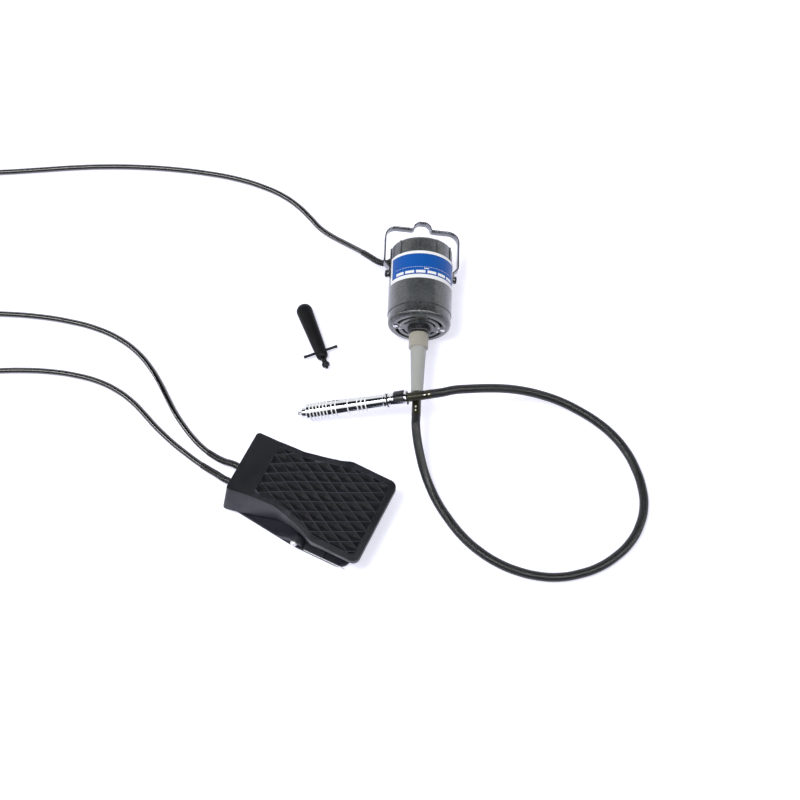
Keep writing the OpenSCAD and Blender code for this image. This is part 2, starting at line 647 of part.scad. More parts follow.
// A saddle over the socket between two radii, with its sides along the press.
module button_block(r1, r2, grow) rotate([0, 0, button_a]) intersection() {
    sector(r1, r2, 150, button_z - button_l / 2 - grow, button_l + 2 * grow);
    translate([0, 0, button_z]) rotate([0, 90, 0]) linear_extrude(40)
        square([button_l + 2 * grow, button_w + 2 * grow], center = true);
}
module release_button() color("black") hand_frame()
    button_block(spigot_d / 2 + 3.6, socket_d / 2 + 1, 0);

groove_z = [59, 65, 71, 85, 103, 109, 116, 121, 126, 131, 136, 141];
groove_w = 1.2;
groove_depth = 0.6;
function grip_r(z) = grip_d2 / 2 + (grip_d - grip_d2) / 2 * (z - socket_l) / (grip_l - socket_l);
module handpiece_grip() color("silver") hand_frame() difference() {
    translate([0, 0, socket_l]) cylinder(r1 = grip_d2 / 2, r2 = grip_d / 2, h = grip_l - socket_l);
    for (z = groove_z) pipe(grip_d, grip_r(z) - groove_depth, z, groove_w);
    rod(spindle_d / 2 + 1.5, socket_l - 1, grip_l);
    rod(bearing_seat_r, socket_l - 1, bush_z[0] + bush_w - socket_l + 1);
    rod(bearing_seat_r, bush_z[1], grip_l);
}
module spindle_bearings() color("gray") hand_frame() for (z = bush_z)
    ball_bearing(bearing_seat_r, spindle_d / 2 + run_gap, z, bush_w);
module spindle() color("silver") hand_frame() difference() {
    rod(spindle_d / 2, spigot_l + 2.4, chuck_z - 5 - spigot_l - 2.4);
    translate([0, 0, spigot_l]) slab([spindle_d + 2, tongue_t + 0.3, 8]);
}
module jaw_bar(k, r, z0, z1) rotate([0, 0, 120 * k + 60]) translate([jaw_d / 2 - 0.4, 0, tip_z])
    rotate([0, -jaw_tilt, 0]) translate([0, 0, z0 - tip_z]) cylinder(r = r, h = z1 - z0);
module chuck_body() color("gray") hand_frame() difference() {
    union() {
        rod(bearing_seat_r - 0.5, chuck_z - 5, 5);
        rod(chuck_body_d / 2, chuck_z - 5, nose_z - chuck_z + 5);
        translate([0, 0, nose_z]) cylinder(r1 = chuck_body_d / 2, r2 = chuck_body_d / 2 - 1.8, h = 1.5);
    }
    for (k = [0 : 2]) jaw_bar(k, jaw_d / 2 + run_gap, ring_z, tip_z + 2);
    rod(2.5, ring_z, 20);
}
module key_ring() color("gray") hand_frame() difference() {
    pipe(key_ring_d / 2, chuck_body_d / 2 + run_gap, ring_z, key_ring_w);
    for (k = [0 : 17]) rotate([0, 0, 20 * k])
        translate([key_ring_d / 2 - 0.55, -0.5, nose_z - 0.9]) cube([2, 1, 2]);
}
module jaw(k) color("lightgray") hand_frame() difference() {
    intersection() {
        jaw_bar(k, jaw_d / 2, tip_z - jaw_l, tip_z + 2);
        rotate([0, 0, 120 * k]) translate([0, 0, tip_z - jaw_l - 2]) linear_extrude(jaw_l + 2)
            translate(jaw_slit * [tan(30), 1]) polygon([[0, 0], [12, 0], [6, 10.4], [-6, 10.4]]);
    }
    rod(shank_d / 2, ring_z - 4, 30);
}

// ---------------------------------------------------------------- foot control

flare_x = 134.6;
function half_plan(cut) = [[treadle_x, treadle_rear - cut], [34, treadle_waist - cut],
    [66, treadle_waist - cut], [97, (treadle_waist + treadle_toe) / 2 - 4 - cut],
    [120, treadle_toe - 7 - cut], [flare_x, treadle_toe - cut]];
function plan(cut) = let (h = half_plan(cut), r = 10, e = toe_x - cut, w = treadle_toe - cut,
        side = concat(h, arc([e - r, w - r], r, 90, 0, 5)))
    concat([for (p = side) [p[0] + (p[0] == treadle_x ? cut : 0), p[1]]],
           [for (k = [len(side) - 1 : -1 : 0]) [side[k][0] + (side[k][0] == treadle_x ? cut : 0), -side[k][1]]]);
crown = [[treadle_x, treadle_h - 11.7], [20, treadle_h - 6.5], [40, treadle_h - 2.5], [60, treadle_h - 0.3],
    [75, treadle_h], [90, treadle_h - 1.2], [109, treadle_h - 4.5], [134, treadle_h - 10],
    [170, treadle_h - 13], [toe_x, treadle_h - 15]];
skirt = [[toe_x, treadle_h - 25], [150, treadle_h - 23], [125, treadle_h - 27], [98, treadle_h - 32],
    [70, 14], [35, floor_z + 3], [treadle_x, floor_z + 2.5]];
module across(points, half) rotate([90, 0, 0]) linear_extrude(2 * half, center = true) polygon(points);
module treadle() color("darkslategray") pedal_frame() difference() {
    union() {
        difference() {
            intersection() {
                linear_extrude(100) polygon(plan(0));
                across(concat(crown, skirt), 90);
            }
            intersection() {
                translate([0, 0, -10]) linear_extrude(110) polygon(plan(treadle_wall));
                across(concat([for (p = crown) p - [0, treadle_wall]], [[toe_x, -5], [treadle_x, -5]]), 90);
            }
        }
        for (s = [-1, 1]) translate([pivot_x - 9, s * lug_y - 3, pin_z - 7])
            cube([18, 6, treadle_h - 5 - treadle_wall - pin_z + 6]);
        translate([plunger_x, 0, under_z(plunger_x) - 4]) cylinder(r = 6, h = 5);
    }
    translate([pivot_x, 0, pin_z]) rotate([90, 0, 0])
        cylinder(r = pin_d / 2 + run_gap, h = 200, center = true);
    translate([treadle_x - 1, lead_y[0] - 12, -1]) cube([10, lead_y[1] - lead_y[0] + 24, 26]);
}
lug_y = 40;
function under_z(x) = lookup(x, crown) - treadle_wall;

function base_plan(cut) = let (r = 16, e = base_l - cut, w = base_toe - cut,
        side = concat([[cut - 5, base_rear - cut], [pivot_x - 10, base_toe - 1 - cut],
                       [pivot_x + 10, w]], arc([e - r, w - r], r, 90, 0, 6)))
    concat(side, [for (k = [len(side) - 1 : -1 : 0]) [side[k][0], -side[k][1]]]);
// The side of an ear: a gusset that rises to the pin from behind and is round over it.
gusset = concat([[pivot_x + ear_r + 3, base_z], [pivot_x + ear_r + 3, floor_z + 4]],
    arc([pivot_x, pin_z], ear_r, 30, 130, 8), [[pivot_x - gusset_l, floor_z], [pivot_x - gusset_l, base_z]]);
module pedal_base() color("black") pedal_frame() difference() {
    union() {
        translate([0, 0, base_z]) linear_extrude(base_t) polygon(base_plan(0));
        translate([0, 0, base_z]) difference() {
            linear_extrude(rim_h) polygon(base_plan(0));
            translate([0, 0, -eps]) linear_extrude(rim_h + 2 * eps) polygon(base_plan(rim_w));
        }
        translate([-5, lead_y[0] - 10, base_z]) cube([3, lead_y[1] - lead_y[0] + 20, 21]);
        intersection() {
            for (s = [-1, 1]) translate([0, s * (ear_y - ear_w / 2), 0]) across(gusset, ear_w / 2);
            linear_extrude(60) polygon(base_plan(0));
        }
        for (s = [-1, 1]) translate([stop_x, s * (ear_y - stop_size[1] / 2), base_z]) slab(stop_size);
        for (x = [7, board_l - 7], y = [-22, 22]) translate([board_x + x, y, 0]) rod(3, base_z, 8);
    }
    translate([pivot_x, 0, pin_z]) rotate([90, 0, 0]) cylinder(r = pin_d / 2, h = 200, center = true);
    for (y = lead_y) translate([-10, y, lead_z]) rotate([0, 90, 0]) cylinder(r = 5, h = 12);
}
module pedal_feet() color("black") pedal_frame() for (x = [12, base_l - 22], s = [-1, 1])
    translate([x, s * (x < 50 ? base_rear - 14 : base_toe - 16), 0]) cylinder(r = 8, h = foot_h);
module pivot_pin() color("silver") pedal_frame() translate([pivot_x, 0, pin_z]) rotate([90, 0, 0]) {
    cylinder(r = pin_d / 2, h = 2 * ear_y, center = true);
    for (s = [0, 180]) rotate([s, 0, 0]) translate([0, 0, ear_y])
        cylinder(r1 = pin_d / 2 + 1.2, r2 = pin_d / 2 - 1, h = pin_head_h);
}
module lead_bushings() color("black") pedal_frame() for (y = lead_y) translate([0, y, lead_z])
    rotate([0, -90, 0]) difference() {
        union() {
            rod(5, 1.8, 4);
            rod(6.5, 0, 2);
            translate([0, 0, 5]) cylinder(r1 = bushing_d / 2, r2 = lead_d / 2 + 0.7, h = bushing_l - 5);
        }
        rod(lead_d / 2 - 0.8, -1, bushing_l);
    }
module control_board() color("green") pedal_frame() {
    difference() {
        translate([board_x, -board_w / 2, board_z]) cube([board_l, board_w, board_t]);
        translate([board_x + 30, -12, base_z]) cube([8, 6, 20]);
    }
    translate([board_x + 10, 12, board_z + board_t]) cube([16, 10, 9]);
    translate([board_x + 52, 14, board_z + board_t]) cylinder(r = 5, h = 12);
}
module heat_sink() color("silver") pedal_frame()
    translate([board_x + 32, -14, board_z + board_t]) {
        cube([30, 14, 2]);
        for (k = [0 : 4]) translate([6.8 * k, 0, 2]) cube([1.6, 14, 11]);
    }
module speed_pot() color("steelblue") pedal_frame() translate([plunger_x, 0, floor_z]) difference() {
    slab([26, 18, 17]);
    rod(3.1, 4, 20);
}
module speed_plunger() color("white") pedal_frame() translate([plunger_x, 0, 0])
    rod(3, floor_z + 11, under_z(plunger_x) - 4 - air - floor_z - 11);
module return_springs() color("silver") pedal_frame() for (s = [-1, 1]) translate([spring_x, s * spring_y, 0])
    pipe(6, 4.8, floor_z, under_z(spring_x) - 0.6 - floor_z);

// ---------------------------------------------------------------- leads

// The outer shape of a coil: two turns wide and "layers" turns high.
module coil(at, layers) translate([at[0], at[1], 0]) rotate_extrude()
    translate([coil_d / 2 - lead_d, 0]) polygon([[2, 0], [2 * lead_d - 2, 0], [2 * lead_d, 2],
        [2 * lead_d, layers * lead_d - 2], [2 * lead_d - 2, layers * lead_d], [2, layers * lead_d],
        [0, layers * lead_d - 2], [0, 2]]);
module lead(route, tail) color("black") {
    cord(route, lead_d, 10, 1);
    cord(tail, lead_d, 10, 1);
}
module motor_lead() lead(motor_lead_route, motor_tail_route);
module motor_lead_coil() color("black") coil(motor_coil_at, 2);
module mains_lead() lead(mains_route, mains_tail_route);
module mains_lead_coil() color("black") coil(mains_coil_at, 3);
module outlet_lead() lead(outlet_route, outlet_tail_route);
module outlet_lead_coil() color("black") coil(outlet_coil_at, 2);

// Put children at the end of a tail, facing +X as its last stretch does.
module at_end(tail) translate(tail[len(tail) - 1]) rotate([0, 0, -90]) rotate([-90, 0, 0]) children();
plug_w = 27;
plug_h = 20;
plug_l = 28;
module plug_body(l) {
    rod(lead_d / 2 + 1.5, 0, 20);
    translate([0, 0, 12]) slab([plug_w - 6, plug_h - 4, l]);
    translate([0, 0, 18]) slab([plug_w, plug_h, l - 6]);
}
module plug() {
    plug_body(plug_l);
    for (s = [-1, 1]) translate([s * 6.35, -3, 12 + plug_l - 1]) slab([1.5, 6.3, 18]);
    translate([0, 5, 12 + plug_l - 1]) cylinder(r = 2.4, h = 20);
}
module motor_plug() color("black") at_end(motor_tail_route) plug();
module mains_plug() color("black") at_end(mains_tail_route) plug();
module outlet_socket() color("black") at_end(outlet_tail_route) difference() {
    plug_body(plug_l + 10);
    for (s = [-1, 1]) translate([s * 6.35, -3, 30]) slab([1.9, 6.9, 30]);
    translate([0, 5, 28]) cylinder(r = 2.7, h = 30);
}

// ---------------------------------------------------------------- chuck key

module key_handle() color("black") key_frame() difference() {
    rotate_extrude() polygon(concat([[0, 0]], [for (a = [0 : 15 : 90])
            [key_d1 / 2 - 5 + 5 * sin(a), key_dome * (1 - cos(a))]],
        [[key_d2 / 2, handle_l - 3], [key_d2 / 2 - 2.5, handle_l], [0, handle_l]]));
    rod(4, handle_l - 30, 40);
    bar_hole();
}
bar_at = key_l - 28;
bar_d = 3;
module bar_hole() translate([0, 0, bar_at]) rotate([90, 0, 0])
    cylinder(r = bar_d / 2, h = 2 * bar_l, center = true);
module key_crossbar() color("dimgray") key_frame() translate([0, 0, bar_at]) rotate([90, 0, 0])
    cylinder(r = bar_d / 2, h = bar_l, center = true);
module key_pinion() color("dimgray") key_frame() difference() {
    union() {
        rod(4, handle_l - 30, key_l - pilot_l - handle_l + 30 - 1);
        difference() {
            translate([0, 0, key_l - pilot_l - pinion_l])
                cylinder(r1 = pinion_d / 2, r2 = pinion_d / 2 - 1.5, h = pinion_l);
            for (k = [0 : 9]) rotate([0, 0, 36 * k]) translate([pinion_d / 2, 0, key_l - pinion_l / 2])
                rotate([0, 0, 45]) cube([1.6, 1.6, pinion_l + 2], center = true);
        }
        rod(2, key_l - pilot_l - 1, pilot_l + 1);
    }
    bar_hole();
}

rear_cap();
motor_can();
front_bell();
through_bolts();
name_plate();
bearing_boss();
motor_bearings();
stator_core();
field_coils();
brush_rigging();
carbon_brushes();
brush_springs();
lead_grommet();
motor_shaft();
armature_core();
armature_windings();
commutator();
cooling_fan();
shaft_coupling();
bail();
bail_screws();
connector_collar();
sheath_boot();
motor_ferrule();
sheath();
flex_core();
handpiece_ferrule();
drive_tip();
rear_socket();
release_button();
handpiece_grip();
spindle_bearings();
spindle();
chuck_body();
key_ring();
jaw(0);  // jaw_1
jaw(1);  // jaw_2
jaw(2);  // jaw_3
treadle();
pedal_base();
pedal_feet();
pivot_pin();
lead_bushings();
control_board();
heat_sink();
speed_pot();
speed_plunger();
return_springs();
motor_lead();
motor_lead_coil();
motor_plug();
mains_lead();
mains_lead_coil();
mains_plug();
outlet_lead();
outlet_lead_coil();
outlet_socket();
key_handle();
key_crossbar();
key_pinion();
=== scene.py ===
"""The looks of a hanging rotary tool: motor, flexible shaft, handpiece, foot control, leads and chuck key."""

import logging
import math
from collections.abc import Callable, Sequence
from dataclasses import dataclass, replace
from enum import Enum

import bpy
from mathutils import Matrix, Vector


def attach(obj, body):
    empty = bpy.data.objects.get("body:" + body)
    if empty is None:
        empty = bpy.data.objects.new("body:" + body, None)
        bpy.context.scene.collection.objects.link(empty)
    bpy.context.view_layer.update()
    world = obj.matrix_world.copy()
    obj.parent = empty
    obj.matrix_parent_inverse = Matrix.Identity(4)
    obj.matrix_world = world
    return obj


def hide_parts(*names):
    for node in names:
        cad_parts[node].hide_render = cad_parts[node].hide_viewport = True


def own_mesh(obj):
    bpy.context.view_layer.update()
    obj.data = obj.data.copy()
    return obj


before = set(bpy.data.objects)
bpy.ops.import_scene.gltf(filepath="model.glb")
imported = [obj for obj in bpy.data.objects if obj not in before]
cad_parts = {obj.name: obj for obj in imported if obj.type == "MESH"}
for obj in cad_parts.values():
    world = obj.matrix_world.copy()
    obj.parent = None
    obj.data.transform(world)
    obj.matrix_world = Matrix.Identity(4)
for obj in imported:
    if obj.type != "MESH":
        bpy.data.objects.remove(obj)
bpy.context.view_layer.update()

LOG = logging.getLogger("rotary_tool")
MM = 0.001

Point = tuple[float, float, float]
Flat = tuple[float, float]
Piece = bpy.types.Object


# ---------------------------------------------------------------- where things lie


def turn(axis: str, degrees: float) -> Matrix:
    """A rotation about a main axis."""
    return Matrix.Rotation(math.radians(degrees), 4, axis)


def lay(at: Point, *turns: Matrix) -> Matrix:
    """The place of a sub-assembly drawn in millimetres about its own axis.

    Args:
        at: Its origin, in millimetres.
        turns: Its rotations, outermost first.

    Returns:
        The matrix from its own millimetres to metres in the shared frame.
    """
    place = Matrix.Scale(MM, 4) @ Matrix.Translation(at)
    for part in turns:
        place = place @ part
    return place


GRIP_LENGTH = 147.5  # from the handpiece's origin to the grip's front
GRIP_RADIUS = 12.7
GRIP_PITCH = 17.394411  # degrees by which the handpiece slants down to its tip
GRIP_HEIGHT = (GRIP_LENGTH * math.sin(math.radians(GRIP_PITCH))
               + GRIP_RADIUS * math.cos(math.radians(GRIP_PITCH)))
KEY_HEIGHT = 12.4  # height of the chuck key's axis at its butt

MOTOR_PLACE = lay((106.5, 214.5, 46), turn("Z", -2), turn("X", 90), turn("Z", -8))
HAND_PLACE = lay((86, -25.3, GRIP_HEIGHT), turn("Z", 0.8), turn("Y", -90 - GRIP_PITCH))
PEDAL_PLACE = lay((-138.5, -117, 0), turn("Z", -26))
KEY_PLACE = lay((-70, 149, KEY_HEIGHT), turn("Z", -69), turn("Y", 92.3))


# ---------------------------------------------------------------- finishes


def linear(hex_colour: str) -> tuple[float, float, float, float]:
    """Turns a colour to linear.

    Args:
        hex_colour: The sRGB colour as #rrggbb.

    Returns:
        The linear colour, with an alpha of 1.
    """
    parts = [int(hex_colour[k : k + 2], 16) / 255 for k in (1, 3, 5)]
    red, green, blue = (c / 12.92 if c <= 0.04045 else ((c + 0.055) / 1.055) ** 2.4 for c in parts)
    return red, green, blue, 1.0


def add(tree: bpy.types.NodeTree, kind: str, settings: dict | None = None,
        inputs: dict | None = None) -> bpy.types.Node:
    """Adds one node.

    Args:
        tree: The material's or the world's nodes.
        kind: The node's type.
        settings: Its properties by name.
        inputs: Its inputs by name or number, each a value or the socket that feeds it.

    Returns:
        The node.
    """
    node = tree.nodes.new(kind)
    for name, value in (settings or {}).items():
        setattr(node, name, value)
    for name, value in (inputs or {}).items():
        if isinstance(value, bpy.types.NodeSocket):
            tree.links.new(value, node.inputs[name])
        else:
            node.inputs[name].default_value = value
    return node


CLOUD_MM = 18  # size of the slow drift of tone and gloss that handling and uneven curing leave
COAT_ROUGHNESS = 0.12  # a clear coat as it flows out by itself
RUBBED_FROM, RUBBED_TO = 0.52, 0.62  # pointiness at which an edge starts to be rubbed, and is wholly rubbed


class Surface(Enum):
    """How a surface was made, which gives its relief."""

    PLATED = "plated"
    HAMMERED = "hammered"
    MOULDED = "moulded"
    TURNED = "turned"
    STACKED = "stacked"
    EXTRUDED = "extruded"


@dataclass(frozen=True)
class Finish:
    """One finish: its colour, its gloss and the relief that its making leaves.

    Attributes:
        name: What it is.
        slot: The record's material slot that it belongs to; not used by the script.
        colour: Its main colour.
        worn: Its colour on rubbed edges.
        surface: How it was made.
        metallic: 1 for a metal.
        roughness: Its mean roughness.
        spread: How far the roughness wanders to each side.
        coat: Weight of a clear coat.
        specular: Strength of the reflection of a surface that is not metal.
        grain_mm: Size of one mark of its relief.
        depth_mm: Depth of the relief.
        mottle: Share by which its colour wanders.
        wear: How much the edges show the worn colour.
        axis: The direction that turned or stacked marks follow one another in.
    """

    name: str
    slot: str
    colour: str
    worn: str
    surface: Surface = Surface.MOULDED
    metallic: float = 0.0
    roughness: float = 0.5
    spread: float = 0.08
    coat: float = 0.0
    specular: float = 0.5
    grain_mm: float = 0.6
    depth_mm: float = 0.02
    mottle: float = 0.15
    wear: float = 0.0
    axis: Point = (0.0, 0.0, 1.0)

    def relief(self, tree: bpy.types.NodeTree, place: bpy.types.NodeSocket) -> bpy.types.NodeSocket:
        """Builds the height of the surface's marks, from 0 to 1.

        Args:
            tree: The material's nodes.
            place: The socket of the object coordinates.

        Returns:
            The socket of the height.
        """
        grain = self.grain_mm * MM
        if self.surface is Surface.HAMMERED:
            drift = add(tree, "ShaderNodeTexNoise", {}, {"Vector": place, "Scale": 0.5 / grain, "Detail": 2.0})
            moved = add(tree, "ShaderNodeVectorMath", {"operation": "MULTIPLY_ADD"},
                        {0: drift.outputs["Color"], 1: (grain, grain, grain), 2: place})
            cells = add(tree, "ShaderNodeTexVoronoi", {"feature": "SMOOTH_F1"},
                        {"Vector": moved.outputs[0], "Scale": 1 / grain, "Smoothness": 0.6})
            return cells.outputs["Distance"]
        if self.surface in (Surface.TURNED, Surface.STACKED):
            along = add(tree, "ShaderNodeVectorMath", {"operation": "DOT_PRODUCT"}, {0: place, 1: self.axis})
            marks = add(tree, "ShaderNodeMath", {"operation": "MULTIPLY"}, {0: along.outputs["Value"], 1: 1 / grain})
            if self.surface is Surface.STACKED:
                return add(tree, "ShaderNodeMath", {"operation": "PINGPONG"},
                           {0: marks.outputs[0], 1: 1.0}).outputs[0]
            return add(tree, "ShaderNodeTexNoise", {"noise_dimensions": "1D"},
                       {"W": marks.outputs[0], "Scale": 1.0, "Detail": 3.0}).outputs["Fac"]
        detail = {Surface.PLATED: 1.0, Surface.EXTRUDED: 6.0}.get(self.surface, 4.0)
        return add(tree, "ShaderNodeTexNoise", {},
                   {"Vector": place, "Scale": 1 / grain, "Detail": detail, "Roughness": 0.6}).outputs["Fac"]

    def build(self) -> bpy.types.Material:
        """Makes the finish as a material, once.

        Returns:
            The material.
        """
        made = bpy.data.materials.get(self.name)
        if made:
            return made
        made = bpy.data.materials.new(self.name)
        made.use_nodes = True
        tree = made.node_tree
        place = add(tree, "ShaderNodeTexCoord").outputs["Object"]
        height = self.relief(tree, place)
        cloud = add(tree, "ShaderNodeTexNoise", {}, {"Vector": place, "Scale": 1 / (CLOUD_MM * MM), "Detail": 5.0})
        both = add(tree, "ShaderNodeMath", {"operation": "ADD"}, {0: height, 1: cloud.outputs["Fac"]})
        tone = add(tree, "ShaderNodeMapRange", {}, {
            "Value": both.outputs[0], "From Min": 0.55, "From Max": 1.45,
            "To Min": 1 - self.mottle, "To Max": 1 + self.mottle})
        body = add(tree, "ShaderNodeVectorMath", {"operation": "SCALE"},
                   {0: linear(self.colour)[:3], "Scale": tone.outputs[0]})
        rubbed = add(tree, "ShaderNodeMapRange", {}, {
            "Value": add(tree, "ShaderNodeNewGeometry").outputs["Pointiness"],
            "From Min": RUBBED_FROM, "From Max": RUBBED_TO, "To Min": 0.0, "To Max": self.wear})
        colour = add(tree, "ShaderNodeMix", {"data_type": "RGBA"},
                     {0: rubbed.outputs[0], 6: body.outputs[0], 7: linear(self.worn)})
        gloss = add(tree, "ShaderNodeMapRange", {}, {
            "Value": cloud.outputs["Fac"], "From Min": 0.3, "From Max": 0.7,
            "To Min": max(0.02, self.roughness - self.spread), "To Max": min(1.0, self.roughness + self.spread)})
        bump = add(tree, "ShaderNodeBump", {}, {"Height": height, "Distance": self.depth_mm * MM, "Strength": 1.0})
        shader = tree.nodes["Principled BSDF"]
        shader.inputs["Metallic"].default_value = self.metallic
        shader.inputs["Coat Weight"].default_value = self.coat
        shader.inputs["Coat Roughness"].default_value = COAT_ROUGHNESS
        shader.inputs["Specular IOR Level"].default_value = self.specular
        tree.links.new(colour.outputs[2], shader.inputs["Base Color"])
        tree.links.new(gloss.outputs[0], shader.inputs["Roughness"])
        tree.links.new(bump.outputs[0], shader.inputs["Normal"])
        return made



def heading(place: Matrix, axis: Point = (0, 0, 1)) -> Point:
    """A sub-assembly's own direction in the shared frame, as turned marks need it."""
    return tuple((place.to_3x3() @ Vector(axis)).normalized())


# Hammertone enamel on steel: dimples of 2 to 3 mm that break up each reflection.
HAMMERTONE = Finish("hammertone_enamel", "can_paint", "#464a4b", "#85888a", Surface.HAMMERED, 0.35, 0.34,
                    coat=0.7, grain_mm=2.7, depth_mm=0.26, mottle=0.5, wear=0.35)
# Printed aluminium plate: flat colours under a satin lacquer.
PLATE_WHITE = Finish("plate_white", "plate_blue", "#f1f3f5", "#dfe2e6", Surface.MOULDED, 0.0, 0.34,
                     grain_mm=0.5, depth_mm=0.004, mottle=0.03)
# The plate's printed field: a strong process blue under the same lacquer.
PLATE_BLUE = Finish("printed_blue", "plate_blue", "#0c55ab", "#174e96", Surface.MOULDED, 0.0, 0.36,
                    specular=0.2, grain_mm=0.5, depth_mm=0.004, mottle=0.1)
# Nickel-chrome plating on polished steel: near mirror, a faint orange peel.
CHROME = Finish("chrome_plate", "bright_steel", "#dfe1e5", "#f2f3f5", Surface.PLATED, 1.0, 0.09, 0.03,
                grain_mm=5.0, depth_mm=0.012, mottle=0.04, wear=0.3)
# Turned grooves of the grip: their faces are painted near white and hardly metallic, a painted highlight standing in
# for the glare that the grooves catch beside the polish.
GROOVE_GLARE = Finish("groove_painted_highlight", "bright_steel", "#fafafc", "#ffffff", Surface.TURNED, 0.1, 0.5,
                 grain_mm=0.3, depth_mm=0.01, mottle=0.08)
# The pivot pin's heads: zinc-plated metal painted near white, a painted reflection that stays light from every side.
PAINTED_GLARE = Finish("pin_head_painted_glare", "bright_steel", "#f4f4f6", "#ffffff", Surface.PLATED, 0.3, 0.4,
              grain_mm=0.8, depth_mm=0.01, mottle=0.06)
# Buffed plating on the strap: brushed to a soft grey, so that it mirrors the room only dimly.
BUFFED = Finish("buffed_plate", "bright_steel", "#85878b", "#b4b6ba", Surface.PLATED, 1.0, 0.25, 0.06,
                grain_mm=3.0, depth_mm=0.02, mottle=0.08, wear=0.4)
# Ground tool steel: fine turning marks that stretch the highlights.
TOOL_STEEL = Finish("ground_tool_steel", "tool_steel", "#a9abae", "#d3d5d8", Surface.TURNED, 1.0, 0.27,
                    grain_mm=0.5, depth_mm=0.012, mottle=0.08, wear=0.4)
# Blackened steel: oiled oxide that is thin on its edges.
BLACK_OXIDE = Finish("oiled_black_steel", "black_oxide", "#1b1b1d", "#5a5b5e", Surface.MOULDED, 0.6, 0.42,
                     grain_mm=0.4, depth_mm=0.015, mottle=0.2, wear=0.35)
# Glass-filled nylon from a spark-eroded mould: a fine even grain, shiny where it is rubbed.
PEDAL_NYLON = Finish("pedal_nylon", "black_plastic", "#121319", "#53555e", Surface.MOULDED, 0.0, 0.46,
                     specular=0.35, grain_mm=0.7, depth_mm=0.035, mottle=0.16, wear=0.35)
# The tread's nylon: the same mould grain, dulled by shoes, so that its pockets stay dark.
TREAD_NYLON = Finish("tread_nylon", "black_plastic", "#0c0d12", "#4a4c55", Surface.MOULDED, 0.0, 0.42,
                     specular=0.14, grain_mm=0.7, depth_mm=0.03, mottle=0.16, wear=0.3)
# The tops of the tread's ribs, painted pale: a painted highlight along each thin rib.
RIB_HIGHLIGHT_NYLON = Finish("rib_painted_highlight", "black_plastic", "#3b3d47", "#6b6e78", Surface.MOULDED, 0.0, 0.4,
                      specular=0.3, grain_mm=0.9, depth_mm=0.02, mottle=0.2)
# The tray's nylon: a fine spark grain that stays dark even at a glancing angle.
TRAY_NYLON = Finish("tray_nylon", "black_plastic", "#282931", "#3a3b42", Surface.MOULDED, 0.0, 0.5,
                    specular=0.3, grain_mm=0.7, depth_mm=0.03, mottle=0.15, wear=0.5)
# Polished-mould nylon of the boss, bushings and ties: black with small sharp highlights.
GLOSS_NYLON = Finish("gloss_nylon", "black_plastic", "#17171a", "#4c4d52", Surface.MOULDED, 0.0, 0.26,
                     grain_mm=0.9, depth_mm=0.012, mottle=0.12, wear=0.3)
# Phenolic handle: brownish black, satin.
PHENOLIC = Finish("phenolic", "black_plastic", "#101013", "#3f3f44", Surface.MOULDED, 0.0, 0.5,
                  specular=0.16, grain_mm=1.3, depth_mm=0.04, mottle=0.22, wear=0.25)
# Grey moulded nylon of the collar and the boot: satin, a little translucent.
GREY_NYLON = Finish("grey_nylon", "grey_plastic", "#a7a9a6", "#b6b7b2", Surface.MOULDED, 0.0, 0.42,
                    grain_mm=0.8, depth_mm=0.02, mottle=0.06, wear=0.2)
# The collar's nylon: warmer and a little paler than the boot.
COLLAR_NYLON = Finish("collar_nylon", "grey_plastic", "#a5a196", "#c4c1b8", Surface.MOULDED, 0.0, 0.38,
                      grain_mm=0.8, depth_mm=0.02, mottle=0.06, wear=0.2)
# Rubber hose over a wound casing: matt, with the faint print of its wrapping.
HOSE_RUBBER = Finish("hose_rubber", "sheath_rubber", "#18191b", "#47494c", Surface.EXTRUDED, 0.0, 0.4,
                     grain_mm=1.2, depth_mm=0.03, mottle=0.18)
# Soft vinyl of the leads: smooth and rather glossy.
LEAD_VINYL = Finish("lead_vinyl", "lead_pvc", "#0c0c0e", "#34353a", Surface.EXTRUDED, 0.0, 0.16, 0.04,
                    coat=1.0, specular=0.8, grain_mm=6.0, depth_mm=0.004, mottle=0.12)
# Brass ferrules under a dark olive lacquer.
OLIVE_LACQUER = Finish("olive_lacquer", "ferrule_brass", "#1f1e16", "#57543b", Surface.TURNED, 0.3, 0.3,
                       grain_mm=0.6, depth_mm=0.012, mottle=0.16, wear=0.5)
# Bare brass where the crimps broke the lacquer, painted near white as the lamp's glint in each dimple.
CRIMP_GLINT = Finish("crimp_painted_glint", "ferrule_brass", "#f6f3e8", "#fffdf4", Surface.PLATED, 0.2, 0.35,
                     grain_mm=0.5, depth_mm=0.01, mottle=0.08)
# Drawn brass of the brush holders: yellow, with fine lines along the draw.
BRASS = Finish("drawn_brass", "brass", "#b8975a", "#dcc288", Surface.EXTRUDED, 1.0, 0.3,
               grain_mm=0.7, depth_mm=0.012, mottle=0.12, wear=0.3)
# Enamelled copper wire, wound: the turns show as fine ribs.
WINDING = Finish("enamelled_copper", "copper", "#a4582b", "#d08a55", Surface.STACKED, 0.85, 0.32,
                 grain_mm=0.35, depth_mm=0.12, mottle=0.2, wear=0.2)
# Core plates of silicon steel, seen on edge.
LAMINATIONS = Finish("core_plates", "iron", "#6e7073", "#9b9da0", Surface.STACKED, 0.9, 0.42,
                     grain_mm=0.3, depth_mm=0.08, mottle=0.15)
# Pressed carbon of the brushes: matt black with a fine grit.
CARBON = Finish("carbon_block", "carbon", "#1c1c1e", "#3a3a3e", Surface.MOULDED, 0.2, 0.6,
                grain_mm=0.3, depth_mm=0.02, mottle=0.2)
# Uncoloured moulded nylon of the fan and the plunger: creamy and a little waxy.
PALE_NYLON = Finish("natural_nylon", "pale_nylon", "#dfdccf", "#f0eee6", Surface.MOULDED, 0.0, 0.4,
                    grain_mm=0.7, depth_mm=0.015, mottle=0.06)
